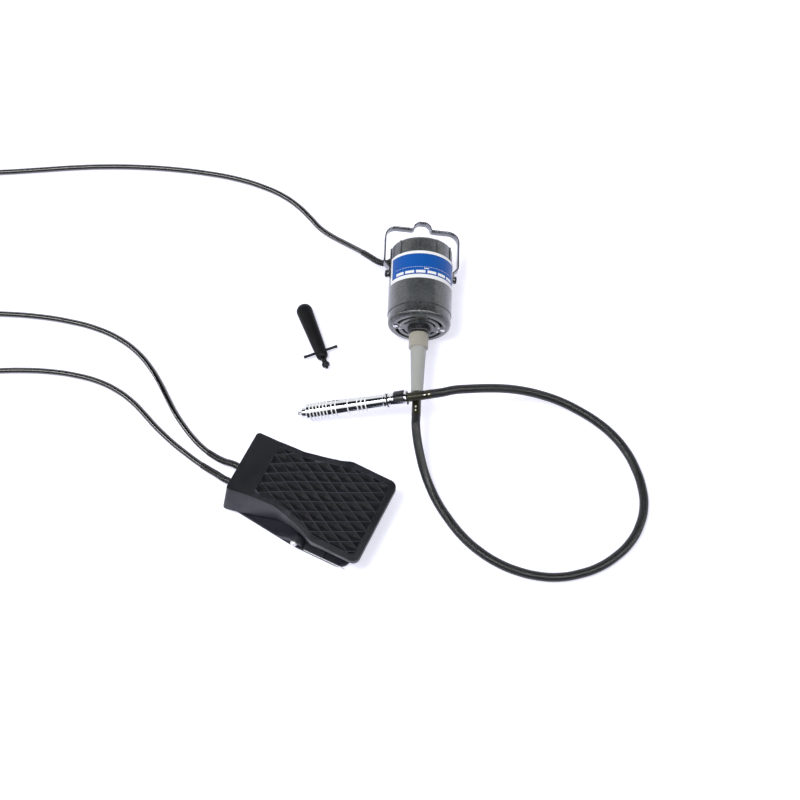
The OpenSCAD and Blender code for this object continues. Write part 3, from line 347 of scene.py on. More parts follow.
# Solder mask on a circuit board: even green, half gloss.
BOARD_GREEN = Finish("board_mask", "board_green", "#1d5a38", "#7b8f58", Surface.MOULDED, 0.0, 0.35,
                     grain_mm=1.5, depth_mm=0.02, mottle=0.18)
# Moulded case of the speed potentiometer: plain satin blue.
POT_BLUE = Finish("pot_case", "pot_blue", "#31629b", "#5f8bbd", Surface.MOULDED, 0.0, 0.42,
                  grain_mm=0.8, depth_mm=0.015, mottle=0.1)
# Extruded aluminium of the heat sink: pale grey with lines along the fins.
FIN_ALUMINIUM = Finish("fin_aluminium", "aluminium", "#b9bcc0", "#dfe1e4", Surface.EXTRUDED, 1.0, 0.35,
                       grain_mm=0.6, depth_mm=0.015, mottle=0.08)
# Moulded rubber of the feet: dull, near black.
FOOT_RUBBER = Finish("moulded_rubber", "foot_rubber", "#1e1e20", "#3c3c40", Surface.MOULDED, 0.0, 0.75,
                     grain_mm=0.5, depth_mm=0.04, mottle=0.2)


# ---------------------------------------------------------------- workshop

MERGE_MM = 0.001  # points closer than this become one, on a piece that is drawn in millimetres
MERGE_M = 0.00001  # the same on a copy of a CAD node, which is in metres
TINY = 1e-9


def only(*pieces: Piece) -> None:
    """Selects these pieces alone.

    Args:
        pieces: The pieces; the last becomes the active one.
    """
    bpy.ops.object.select_all(action="DESELECT")
    for piece in pieces:
        piece.select_set(True)
    bpy.context.view_layer.objects.active = pieces[-1]


def mode(name: str, kind: str = "VERT") -> None:
    """Goes to edit mode or back to object mode.

    Args:
        name: The mode.
        kind: The kind of element that edit mode selects.
    """
    bpy.ops.object.mode_set(mode=name)
    if name == "EDIT":
        bpy.ops.mesh.select_mode(type=kind)


def clean() -> None:
    """Merges doubles and points the faces outwards, in edit mode."""
    bpy.ops.mesh.select_all(action="SELECT")
    bpy.ops.mesh.remove_doubles(threshold=MERGE_MM)
    bpy.ops.mesh.normals_make_consistent(inside=False)


def pull(name: str, points: Sequence[Point]) -> Piece:
    """Pulls one vertex along points; the piece is left in edit mode with its last vertex selected.

    Args:
        name: The piece's name.
        points: The points of the line, in millimetres.

    Returns:
        The piece.
    """
    bpy.ops.object.select_all(action="DESELECT")
    bpy.ops.mesh.primitive_plane_add(size=2)
    piece = bpy.context.active_object
    piece.name = name
    mode("EDIT")
    bpy.ops.mesh.merge(type="CENTER")
    bpy.ops.transform.translate(value=points[0])
    for here, there in zip(points, points[1:]):
        bpy.ops.mesh.extrude_vertices_move(TRANSFORM_OT_translate={"value": Vector(there) - Vector(here)})
    return piece


def lathe(name: str, profile: Sequence[Flat], steps: int = 72) -> Piece:
    """Spins a profile about Z.

    Args:
        name: The piece's name.
        profile: Points (radius, height). It starts and ends on the axis, or ends where it starts.
        steps: Steps of the full turn.

    Returns:
        The closed solid.
    """
    piece = pull(name, [(r, 0, z) for r, z in profile])
    bpy.ops.mesh.select_all(action="SELECT")
    bpy.ops.mesh.spin(steps=steps, angle=math.tau, center=(0, 0, 0), axis=(0, 0, 1))
    clean()
    mode("OBJECT")
    return piece


def prism(name: str, outline: Sequence[Flat], low: float, high: float) -> Piece:
    """Pulls an outline in XY up from low to high.

    Args:
        name: The piece's name.
        outline: The corners, in order.
        low: Height of its underside.
        high: Height of its top.

    Returns:
        The closed solid.
    """
    piece = pull(name, [(x, y, low) for x, y in [*outline, outline[0]]])
    bpy.ops.mesh.select_all(action="SELECT")
    bpy.ops.mesh.remove_doubles(threshold=MERGE_MM)
    bpy.ops.mesh.edge_face_add()
    bpy.ops.mesh.extrude_region_move(TRANSFORM_OT_translate={"value": (0, 0, high - low)})
    clean()
    mode("OBJECT")
    return piece


def block(name: str, low: Point, high: Point) -> Piece:
    """A block between two corners.

    Args:
        name: The piece's name.
        low: Its lowest corner.
        high: Its highest corner.

    Returns:
        The block.
    """
    size = Vector(high) - Vector(low)
    bpy.ops.object.select_all(action="DESELECT")
    bpy.ops.mesh.primitive_cube_add(size=1, location=(Vector(low) + Vector(high)) / 2, scale=size)
    piece = bpy.context.active_object
    piece.name = name
    bpy.ops.object.transform_apply(location=True, rotation=True, scale=True)
    return piece


def modify(piece: Piece, kind: str, **settings: object) -> Piece:
    """Adds one modifier and applies it.

    Args:
        piece: The piece.
        kind: The modifier's type.
        settings: Its properties by name.

    Returns:
        The piece.
    """
    only(piece)
    made = piece.modifiers.new(kind.lower(), kind)
    for name, value in settings.items():
        setattr(made, name, value)
    bpy.ops.object.modifier_apply(modifier=made.name)
    return piece


def soften(piece: Piece, width: float, segments: int = 2, angle: float = 35) -> Piece:
    """Rounds the edges that are sharper than an angle."""
    return modify(piece, "BEVEL", width=width, segments=segments, limit_method="ANGLE",
                  angle_limit=math.radians(angle))


def cut(piece: Piece, *cutters: Piece) -> Piece:
    """Takes the cutters' forms out of a piece and removes the cutters.

    Args:
        piece: The piece that is cut.
        cutters: The closed forms that are taken out.

    Returns:
        The piece.
    """
    for cutter in cutters:
        modify(piece, "BOOLEAN", operation="DIFFERENCE", solver="EXACT", object=cutter)
        bpy.data.objects.remove(cutter)
    return piece


def join(name: str, pieces: Sequence[Piece]) -> Piece:
    """Joins pieces into one mesh.

    Args:
        name: The name of the whole.
        pieces: The pieces; the whole keeps the last one's object.

    Returns:
        The whole.
    """
    only(*pieces)
    if len(pieces) > 1:
        bpy.ops.object.join()
    piece = bpy.context.active_object
    piece.name = name
    return piece


def place(piece: Piece, matrix: Matrix) -> Piece:
    """Moves a piece and applies its place to the mesh.

    Args:
        piece: The piece.
        matrix: The move.

    Returns:
        The piece.
    """
    only(piece)
    piece.matrix_world = matrix @ piece.matrix_world
    bpy.ops.object.transform_apply(location=True, rotation=True, scale=True)
    return piece


def copies(piece: Piece, places: Sequence[Matrix]) -> list[Piece]:
    """Copies a piece, each copy with its own mesh, and removes the pattern.

    Args:
        piece: The pattern.
        places: The move of each copy.

    Returns:
        The copies.
    """
    made = []
    for matrix in places:
        only(piece)
        bpy.ops.object.duplicate(linked=False)
        made.append(place(bpy.context.active_object, matrix))
    bpy.data.objects.remove(piece)
    return made


def round_arc(x: float, y: float, radius: float, first: float, last: float, steps: int = 5) -> list[Flat]:
    """Points of an arc about (x, y), angles in degrees."""
    angles = [math.radians(first + (last - first) * k / steps) for k in range(steps + 1)]
    return [(x + radius * math.cos(a), y + radius * math.sin(a)) for a in angles]


def round_corners(corners: Sequence[tuple[float, float, float]], steps: int = 4) -> list[Flat]:
    """Rounds the corners of an open or closed line.

    Args:
        corners: Points (x, y, radius); a radius of 0 keeps the corner.
        steps: Steps of each arc.

    Returns:
        The points of the rounded line.
    """
    line: list[Flat] = []
    count = len(corners)
    for k, (x, y, radius) in enumerate(corners):
        here = Vector((x, y))
        to_last = Vector(corners[k - 1][:2]) - here
        to_next = Vector(corners[(k + 1) % count][:2]) - here
        if radius <= 0 or min(to_last.length, to_next.length) < TINY:
            line.append((x, y))
            continue
        to_last.normalize()
        to_next.normalize()
        half = to_last.angle(to_next) / 2
        reach = radius / math.tan(half)
        middle = here + (to_last + to_next).normalized() * radius / math.sin(half)
        start, end = here + to_last * reach - middle, here + to_next * reach - middle
        swing = start.angle_signed(end)
        for step in range(steps + 1):
            turned = Matrix.Rotation(-swing * step / steps, 2) @ start
            line.append(tuple(middle + turned))
    return line


def sector(name: str, inner: float, outer: float, width: float, low: float, high: float, middle: float,
           steps: int = 12) -> Piece:
    """A piece of a ring about Z.

    Args:
        name: The piece's name.
        inner: Its inner radius.
        outer: Its outer radius.
        width: The angle that it takes up, in degrees.
        low: Height of its underside.
        high: Height of its top.
        middle: Direction of its middle, in degrees from X.
        steps: Steps of its arcs.

    Returns:
        The closed solid.
    """
    angles = [math.radians(middle + width * (k / steps - 0.5)) for k in range(steps + 1)]
    rim = [(outer * math.cos(a), outer * math.sin(a)) for a in angles]
    return prism(name, rim + [(inner * math.cos(a), inner * math.sin(a)) for a in reversed(angles)], low, high)


def peg(name: str, radius: float, low: Point, high: Point, steps: int = 24) -> Piece:
    """A round peg.

    Args:
        name: The piece's name.
        radius: Its radius.
        low: The middle of one end.
        high: The middle of the other end.
        steps: Steps round it.

    Returns:
        The closed solid.
    """
    start, end = Vector(low), Vector(high)
    bpy.ops.object.select_all(action="DESELECT")
    bpy.ops.mesh.primitive_cylinder_add(vertices=steps, radius=radius, depth=(end - start).length)
    piece = bpy.context.active_object
    piece.name = name
    aim = (end - start).to_track_quat("Z", "Y").to_matrix().to_4x4()
    return place(piece, Matrix.Translation((start + end) / 2) @ aim)


def dress(piece: Piece, body: str, finish: Finish, stands_for: Sequence[str] = (), angle: float = 35) -> Piece:
    """Gives a piece its finish and its body, and hides the CAD nodes that it stands for.

    Args:
        piece: The finished mesh, in place.
        body: The CAD body that it moves with.
        finish: Its finish.
        stands_for: The CAD nodes that it replaces.
        angle: Edges sharper than this stay sharp in the shading.

    Returns:
        The piece.
    """
    only(piece)
    if piece.type == "MESH":
        bpy.ops.object.shade_smooth_by_angle(angle=math.radians(angle))
    piece.data.materials.clear()
    piece.data.materials.append(finish.build())
    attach(piece, body)
    if stands_for:
        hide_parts(*stands_for)
    LOG.info("%s rides on %s", piece.name, body)
    return piece


def repaint(finish: Finish, *names: str) -> None:
    """Gives CAD nodes whose shape is right their finish.

    Args:
        finish: The finish.
        names: The nodes.
    """
    for name in names:
        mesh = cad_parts[name].data
        mesh.materials.clear()
        mesh.materials.append(finish.build())
        LOG.info("%s keeps its CAD shape", name)


def refined(node: str, width: float, name: str, segments: int = 2, angle: float = 40) -> Piece:
    """A copy of a CAD node with merged faces and rounded edges.

    Args:
        node: The CAD node.
        width: Width of the rounding, in metres.
        name: The new piece's name.
        segments: Segments of the rounding.
        angle: Edges sharper than this are rounded.

    Returns:
        The copy, in place.
    """
    only(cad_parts[node])
    bpy.ops.object.duplicate(linked=False)
    piece = bpy.context.active_object
    piece.name = name
    piece.parent = None
    piece.matrix_world = Matrix.Identity(4)
    for key in [k for k in piece.keys() if k.startswith("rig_")]:
        del piece[key]
    mode("EDIT")
    bpy.ops.mesh.select_all(action="SELECT")
    bpy.ops.mesh.remove_doubles(threshold=MERGE_M)
    bpy.ops.mesh.dissolve_limited(angle_limit=math.radians(1))
    mode("OBJECT")
    return soften(piece, width, segments, angle)


# ---------------------------------------------------------------- camera, light and floor


@dataclass
class Studio:
    """The camera, the soft box, the room and the pale floor.

    Attributes:
        eye: Place of the camera, in metres.
        tilt: Its turn about X from straight down, in degrees.
        lens: Its focal length on a 36 mm sensor.
        lamp: Place of the soft box.
        lamp_size: Its side, in metres.
        lamp_power: Its power, in watts.
        fill: Level of the world's light on matt surfaces.
        glow: What the floor gives off to the eye, so that it stays white between the shadows.
        gap: Colour of the dark gaps between the white screens that polished metal sees.
        screen: Level of the brightest screen.
        paper: Colour of the floor.
    """

    eye: Point = (0.075, -0.8905, 1.9032)
    tilt: float = 25.0
    lens: float = 66.15
    lamp: Point = (-0.8, -0.4, 2.6)
    lamp_size: float = 0.9
    lamp_power: float = 40.0
    fill: float = 0.58
    glow: float = 0.57
    gap: Point = (0.0013, 0.0014, 0.0019)
    screen: float = 16.0
    paper: str = "#dedef0"

    # Where the screens start, as a share of the way from low in front to low behind, and their levels
    # as shares of the brightest; 0 is a dark gap.
    SCREENS = ((0.24, 0), (0.26, 0.08), (0.425, 0.08), (0.43, 1), (0.452, 1), (0.457, 0.08), (0.475, 0),
               (0.725, 0), (0.745, 0.0625), (1.0, 0.0625))

    def camera(self) -> None:
        """Sets up the camera."""
        data = bpy.data.cameras.new("view")
        data.lens, data.sensor_width = self.lens, 36
        view = bpy.data.objects.new("view", data)
        view.location = self.eye
        view.rotation_euler = (math.radians(self.tilt), 0, 0)
        bpy.context.scene.collection.objects.link(view)
        bpy.context.scene.camera = view
        bpy.context.scene.view_settings.view_transform = "Standard"

    def soft_box(self) -> None:
        """Hangs one soft box up on the left."""
        data = bpy.data.lights.new("soft_box", "AREA")
        data.shape, data.size, data.energy = "SQUARE", self.lamp_size, self.lamp_power
        lamp = bpy.data.objects.new("soft_box", data)
        lamp.location = self.lamp
        lamp.rotation_euler = (-Vector(self.lamp)).to_track_quat("-Z", "Y").to_euler()
        lamp.visible_glossy = False
        bpy.context.scene.collection.objects.link(lamp)

    def world(self) -> None:
        """Paints the room: plain white to the eye, and white screens with dark gaps to polished metal."""
        room = bpy.data.worlds.new("room")
        bpy.context.scene.world = room
        room.use_nodes = True
        tree = room.node_tree
        way = add(tree, "ShaderNodeTexCoord").outputs["Generated"]
        part = add(tree, "ShaderNodeSeparateXYZ", {}, {0: way})
        lean = add(tree, "ShaderNodeMath", {"operation": "ARCTAN2"}, {0: part.outputs["Y"], 1: part.outputs["Z"]})
        share = add(tree, "ShaderNodeMapRange", {}, {
            "Value": lean.outputs[0], "From Min": -math.pi / 2, "From Max": math.pi / 2})
        bands = add(tree, "ShaderNodeValToRGB", {}, {0: share.outputs[0]})
        ramp = bands.color_ramp
        ramp.elements.remove(ramp.elements[1])
        ramp.elements[0].position, ramp.elements[0].color = 0.0, (*self.gap, 1)
        for at, level in self.SCREENS:
            stop = ramp.elements.new(at)
            stop.color = (level, level, level, 1) if level else (*self.gap, 1)
        rays = add(tree, "ShaderNodeLightPath")
        eye = add(tree, "ShaderNodeBackground", {}, {"Color": (1, 1, 1, 1), "Strength": 1.0})
        matt = add(tree, "ShaderNodeBackground", {}, {"Color": (1, 1, 1, 1), "Strength": self.fill})
        polished = add(tree, "ShaderNodeBackground", {}, {"Color": bands.outputs[0], "Strength": self.screen})
        first = add(tree, "ShaderNodeMixShader", {}, {
            0: rays.outputs["Is Glossy Ray"], 1: matt.outputs[0], 2: polished.outputs[0]})
        both = add(tree, "ShaderNodeMixShader", {}, {
            0: rays.outputs["Is Camera Ray"], 1: first.outputs[0], 2: eye.outputs[0]})
        tree.links.new(both.outputs[0], tree.nodes["World Output"].inputs[0])

    def floor(self) -> None:
        """Lays the floor, which shows its shadows and is otherwise plain white."""
        bpy.ops.object.select_all(action="DESELECT")
        bpy.ops.mesh.primitive_plane_add(size=12)
        sheet = bpy.context.active_object
        sheet.name = "studio_floor"
        paper = bpy.data.materials.new("backdrop_paper")
        paper.use_nodes = True
        tree = paper.node_tree
        rays = add(tree, "ShaderNodeLightPath")
        seen = add(tree, "ShaderNodeMath", {"operation": "MAXIMUM"},
                   {0: rays.outputs["Is Camera Ray"], 1: rays.outputs["Is Glossy Ray"]})
        glow = add(tree, "ShaderNodeMath", {"operation": "MULTIPLY"}, {0: seen.outputs[0], 1: self.glow})
        shader = tree.nodes["Principled BSDF"]
        shader.inputs["Base Color"].default_value = linear(self.paper)
        shader.inputs["Roughness"].default_value = 0.9
        shader.inputs["Specular IOR Level"].default_value = 0.0
        shader.inputs["Emission Color"].default_value = (0.92, 0.92, 1, 1)
        tree.links.new(glow.outputs[0], shader.inputs["Emission Strength"])
        sheet.data.materials.append(paper)


# ---------------------------------------------------------------- cords


def local(matrix: Matrix, *point: float) -> Vector:
    """A point of a sub-assembly, in shared metres."""
    return matrix @ Vector(point)


def metres(points: Sequence[Point]) -> list[Vector]:
    """Points in millimetres as vectors in metres."""
    return [Vector(p) * MM for p in points]


def hose_curve(name: str, points: Sequence[Vector], diameter: float) -> Piece:
    """A smooth round cord through points.

    Args:
        name: The piece's name.
        points: Its centre line, in metres.
        diameter: Its thickness, in metres.

    Returns:
        The curve, one open spline.
    """
    data = bpy.data.curves.new(name, "CURVE")
    data.dimensions, data.bevel_depth, data.bevel_resolution = "3D", diameter / 2, 5
    data.resolution_u, data.use_fill_caps = 6, True
    line = data.splines.new("BEZIER")
    line.bezier_points.add(len(points) - 1)
    for knot, point in zip(line.bezier_points, points):
        knot.co = point
        knot.handle_left_type = knot.handle_right_type = "AUTO"
    piece = bpy.data.objects.new(name, data)
    bpy.context.scene.collection.objects.link(piece)
    return piece


def sleeve(name: str, points: Sequence[Vector], radii: Sequence[float]) -> Piece:
    """A closed round sleeve whose radius changes along its way.

    Args:
        name: The piece's name.
        points: Its centre line, in metres.
        radii: Its radius at each point, in metres.

    Returns:
        The sleeve, made a mesh.
    """
    data = bpy.data.curves.new(name, "CURVE")
    data.dimensions, data.bevel_depth, data.bevel_resolution, data.use_fill_caps = "3D", 1.0, 6, True
    line = data.splines.new("POLY")
    line.points.add(len(points) - 1)
    for knot, point, radius in zip(line.points, points, radii):
        knot.co = (*point, 1)
        knot.radius = radius
    piece = bpy.data.objects.new(name, data)
    bpy.context.scene.collection.objects.link(piece)
    only(piece)
    bpy.ops.object.convert(target="MESH")
    return bpy.context.active_object


def bezier(a: Vector, b: Vector, c: Vector, d: Vector, t: float) -> Vector:
    """A point on a cubic curve."""
    s = 1 - t
    return a * s**3 + b * (3 * s * s * t) + c * (3 * s * t * t) + d * t**3


FLOOR_RUN = 4.35  # height of a lead's middle where it lies on the table
LOW, MIDDLE, HIGH = 4.7, 13.1, 21.5  # heights of the layers of a coil
OUTER, INNER = 42.2, 33.8  # radii of its two columns


class Winding(Enum):
    """Which way a coil of lead is wound."""

    CLOCKWISE = -1
    COUNTER = 1


@dataclass
class Lead:
    """One lead: its run over the table, its stored coil with a tie, and the fitting on its end.

    Attributes:
        name: The CAD node of its run.
        start: Where it leaves its bushing, and a point further out, in metres.
        drop: Points of its way down to the table, in millimetres.
        ground: Points (x, y) of its run on the table.
        coil_start: Point (x, y) where the run goes over into the coil.
        layers: Radius and height of each turn of the coil, from the first.
        winding: Which way it is wound.
        fitting: The CAD node of the plug or socket.
        far_end: What the fitting is; not used.
        leave: How far to the side the end leaves the coil.
        tie_angle: Where the tie holds the coil, in degrees.
        relief: Length of the strain relief, in metres.
        diameter: Thickness of the lead.
    """

    name: str
    start: tuple[Vector, Vector]
    drop: list[Point]
    ground: list[Flat]
    coil_start: Flat
    layers: list[Flat]
    winding: Winding
    fitting: str
    far_end: str
    leave: float = OUTER
    tie_angle: float = 60.0
    relief: float = 0.05
    diameter: float = 8.4

    STEP = 22.5  # degrees between two points of the coil
    SHIFT = 80.0  # degrees in which the lead passes from one turn to the next
    LEAD_IN = 310.0  # each passage comes 50 degrees before the last one
    COLLAR = 0.0007  # what the strain relief adds to the lead's radius at its start, in metres
    THINNING = 0.0004  # how much of that is gone at its end
    RIB, RIB_PITCH = 0.0003, 0.0013  # depth and pitch of its ribs

    @property
    def centre(self) -> Flat:
        """Middle of the coil."""
        return self.coil_start[0], self.coil_start[1] - self.winding.value * OUTER

    def coil(self) -> list[Point]:
        """Winds the coil.

        Returns:
            Its points, turn by turn, in millimetres.
        """
        total = 360 * (len(self.layers) - 1) + 90
        first = -90 if self.winding is Winding.CLOCKWISE else 90
        points = []
        for k in range(int(total / self.STEP) + 1):
            turned = k * self.STEP
            radius, height = self.layers[0]
            for n, (a, b) in enumerate(zip(self.layers, self.layers[1:])):
                share = min(1.0, max(0.0, (turned - self.LEAD_IN * (n + 1)) / self.SHIFT))
                share = share * share * (3 - 2 * share)
                radius += (b[0] - a[0]) * share
                height += (b[1] - a[1]) * share
            angle = math.radians(first + self.winding.value * turned)
            points.append((self.centre[0] + radius * math.cos(angle),
                           self.centre[1] + radius * math.sin(angle), height))
        return points

    def tail(self) -> list[Point]:
        """Leads the end down from the coil, round and up into the fitting.

        Returns:
            Its points, in millimetres.
        """
        way = [(-self.leave, 53, 12.1), (-self.leave, 66, 7), (-42, 82, FLOOR_RUN), (-38, 96, 4.9), (-28, 107, 7),
               (-14, 111, 9.5), (0, 111, 10)]
        return [(self.coil_start[0] + x, self.coil_start[1] - self.winding.value * y, z) for x, y, z in way]

    def points(self) -> list[Vector]:
        """Strings the whole route together.

        Returns:
            Its points from the bushing to the fitting, in metres.
        """
        ground = [(x, y, FLOOR_RUN) for x, y in self.ground]
        return [*self.start, *metres(self.drop), *metres(ground), *metres([(*self.coil_start, LOW)]),
                *metres(self.coil()[1:]), *metres(self.tail())]

    def tie(self) -> Piece:
        """Makes the strap round the coil's bundle.

        Returns:
            The strap, in place.
        """
        inner = min(r for r, _ in self.layers) - self.diameter / 2
        outer = max(r for r, _ in self.layers) + self.diameter / 2
        top = max(z for _, z in self.layers) + self.diameter / 2
        low, wall, corner = 0.03, 0.45, 3.2
        ring = round_corners([(inner - wall, low, corner), (outer + wall, low, corner),
                              (outer + wall, top + wall, corner), (inner - wall, top + wall, corner)])
        hole = round_corners([(inner, low + wall, corner - wall), (outer, low + wall, corner - wall),
                              (outer, top, corner - wall), (inner, top, corner - wall)])
        strap = cut(prism(self.name + "_tie", ring, -5, 5), prism("hole", hole, -6, 6))
        soften(strap, 0.15, 1)
        return place(strap, lay((*self.centre, 0), turn("Z", self.tie_angle), turn("X", 90)))

    def strain_relief(self) -> Piece:
        """Makes the tapered and ribbed sleeve where the lead leaves its bushing.

        Returns:
            The sleeve, in place.
        """
        knots = bpy.data.objects.get(self.name + "_cord").data.splines[0].bezier_points
        dense: list[Vector] = []
        for a, b in zip(knots, knots[1:5]):
            dense += [bezier(a.co, a.handle_right, b.handle_left, b.co, k / 24) for k in range(24)]
        full = self.diameter / 2 * MM + self.COLLAR
        spots, radii, gone = [dense[0]], [full], 0.0
        for a, b in zip(dense, dense[1:]):
            gone += (b - a).length
            if gone > self.relief:
                break
            share = gone / self.relief
            rib = self.RIB if int(gone / self.RIB_PITCH) % 2 and 0.08 < share < 0.4 else 0.0
            spots.append(b)
            radii.append(full - self.THINNING * share - rib)
        return sleeve(self.name + "_strain_relief", spots, radii)

    def build(self) -> None:
        """Lays the lead, ties its coil and dresses its fitting."""
        points = self.points()
        cord = hose_curve(self.name + "_cord", points, self.diameter * MM)
        bpy.context.view_layer.update()
        dress(cord, "set", LEAD_VINYL, (self.name, self.name + "_coil"))
        tie = dress(self.tie(), "set", GLOSS_NYLON)
        relief = dress(self.strain_relief(), "set", GLOSS_NYLON)
        end = dress(refined(self.fitting, 0.0012, self.fitting + "_body"), "set", PEDAL_NYLON, (self.fitting,))


SHEATH_DIAMETER = 0.0125
SHEATH_RUN: list[Point] = [
    (99, -82, 37.5), (103, -101, 28.5), (108, -119, 19.5), (116, -140, 12), (127, -163, 8), (142, -187, 6.4),
    (160, -211, 6.3), (182, -232, 6.3), (207, -249, 6.3), (234, -261, 6.3), (262, -268, 6.3), (290, -269.5, 6.3),
    (317, -265, 6.3), (343, -256, 6.3), (367, -241, 6.3), (388, -221, 6.3), (403, -196, 6.3), (411, -167, 6.3),
    (410, -139, 6.3), (403, -111, 6.3), (391, -84, 6.3), (373, -59, 6.5), (352, -40, 8), (329, -26, 12),
    (303, -15, 19), (276, -9, 28), (249, -7, 38.5), (223, -8.5, 49), (197, -12.5, 59), (172, -17, 66.5),
    (149, -21, 71)]


def build_sheath() -> None:
    """Lays the hose of the flexible shaft from the motor's ferrule to the handpiece's."""
    points = [local(MOTOR_PLACE, 0, 0, 263), local(MOTOR_PLACE, 0, 0, 277), *metres(SHEATH_RUN),
              local(HAND_PLACE, 0, 0, -49), local(HAND_PLACE, 0, 0, -35)]
    hose = hose_curve("sheath_hose", points, SHEATH_DIAMETER)
    hose.data.bevel_resolution = 8
    bpy.context.view_layer.update()
    dress(hose, "set", HOSE_RUBBER, ("sheath",))


FOUR_TURNS = [(OUTER, LOW), (INNER, LOW), (INNER, MIDDLE), (OUTER, MIDDLE)]
SIX_TURNS = [(OUTER, LOW), (INNER, LOW), (INNER, MIDDLE), (INNER, HIGH), (OUTER, HIGH), (OUTER, MIDDLE)]
GROMMET_TURN = 195.0  # direction of the motor's grommet round its axis, in degrees
GROMMET_STATION = 17.0


def build_leads() -> None:
    """Lays the three leads."""
    away = math.radians(GROMMET_TURN)
    motor_start, mains_start, outlet_start = (
        tuple(local(MOTOR_PLACE, r * math.cos(away), r * math.sin(away), GROMMET_STATION) for r in (50.5, 56.5)),
        *(tuple(local(PEDAL_PLACE, x, y, 15) for x in (-14, -21)) for y in (-25, 0)))
    leads = (
        Lead("motor_lead", motor_start,
             [(41, 204, 37.8), (31, 213, 34.5), (20, 223.5, 29.5), (5, 237, 22), (-12, 251, 15), (-30, 266, 8.5),
              (-46, 281, 5)],
             [(-60, 298), (-78, 318), (-103, 338), (-136, 355), (-176, 369), (-222, 379), (-272, 386), (-324, 390),
              (-376, 391), (-428, 389), (-480, 385), (-536, 381), (-592, 380)],
             (-618, 380), FOUR_TURNS, Winding.CLOCKWISE, "motor_plug", "plug"),
        Lead("mains_lead", mains_start,
             [(-178, -122.5, 11), (-192, -112.5, 6.8), (-208, -101, 4.6)],
             [(-226, -87), (-243, -73), (-257, -60), (-271, -46), (-287, -28), (-305, -9), (-328, 9), (-357, 24),
              (-391, 34), (-429, 40), (-470, 42), (-513, 41), (-556, 40)],
             (-582, 40), SIX_TURNS, Winding.COUNTER, "mains_plug", "plug", leave=42.0),
        Lead("outlet_lead", outlet_start,
             [(-170, -102, 10.3), (-185, -92.5, 6.5), (-202, -79, 4.6)],
             [(-218, -62), (-231, -45), (-243, -27), (-255, -5), (-268, 20), (-284, 46), (-305, 71), (-333, 93),
              (-368, 110), (-410, 122), (-457, 130), (-508, 134), (-559, 135)],
             (-585, 135), FOUR_TURNS, Winding.CLOCKWISE, "outlet_socket", "connector"))
    for lead in leads:
        lead.build()


# ---------------------------------------------------------------- motor


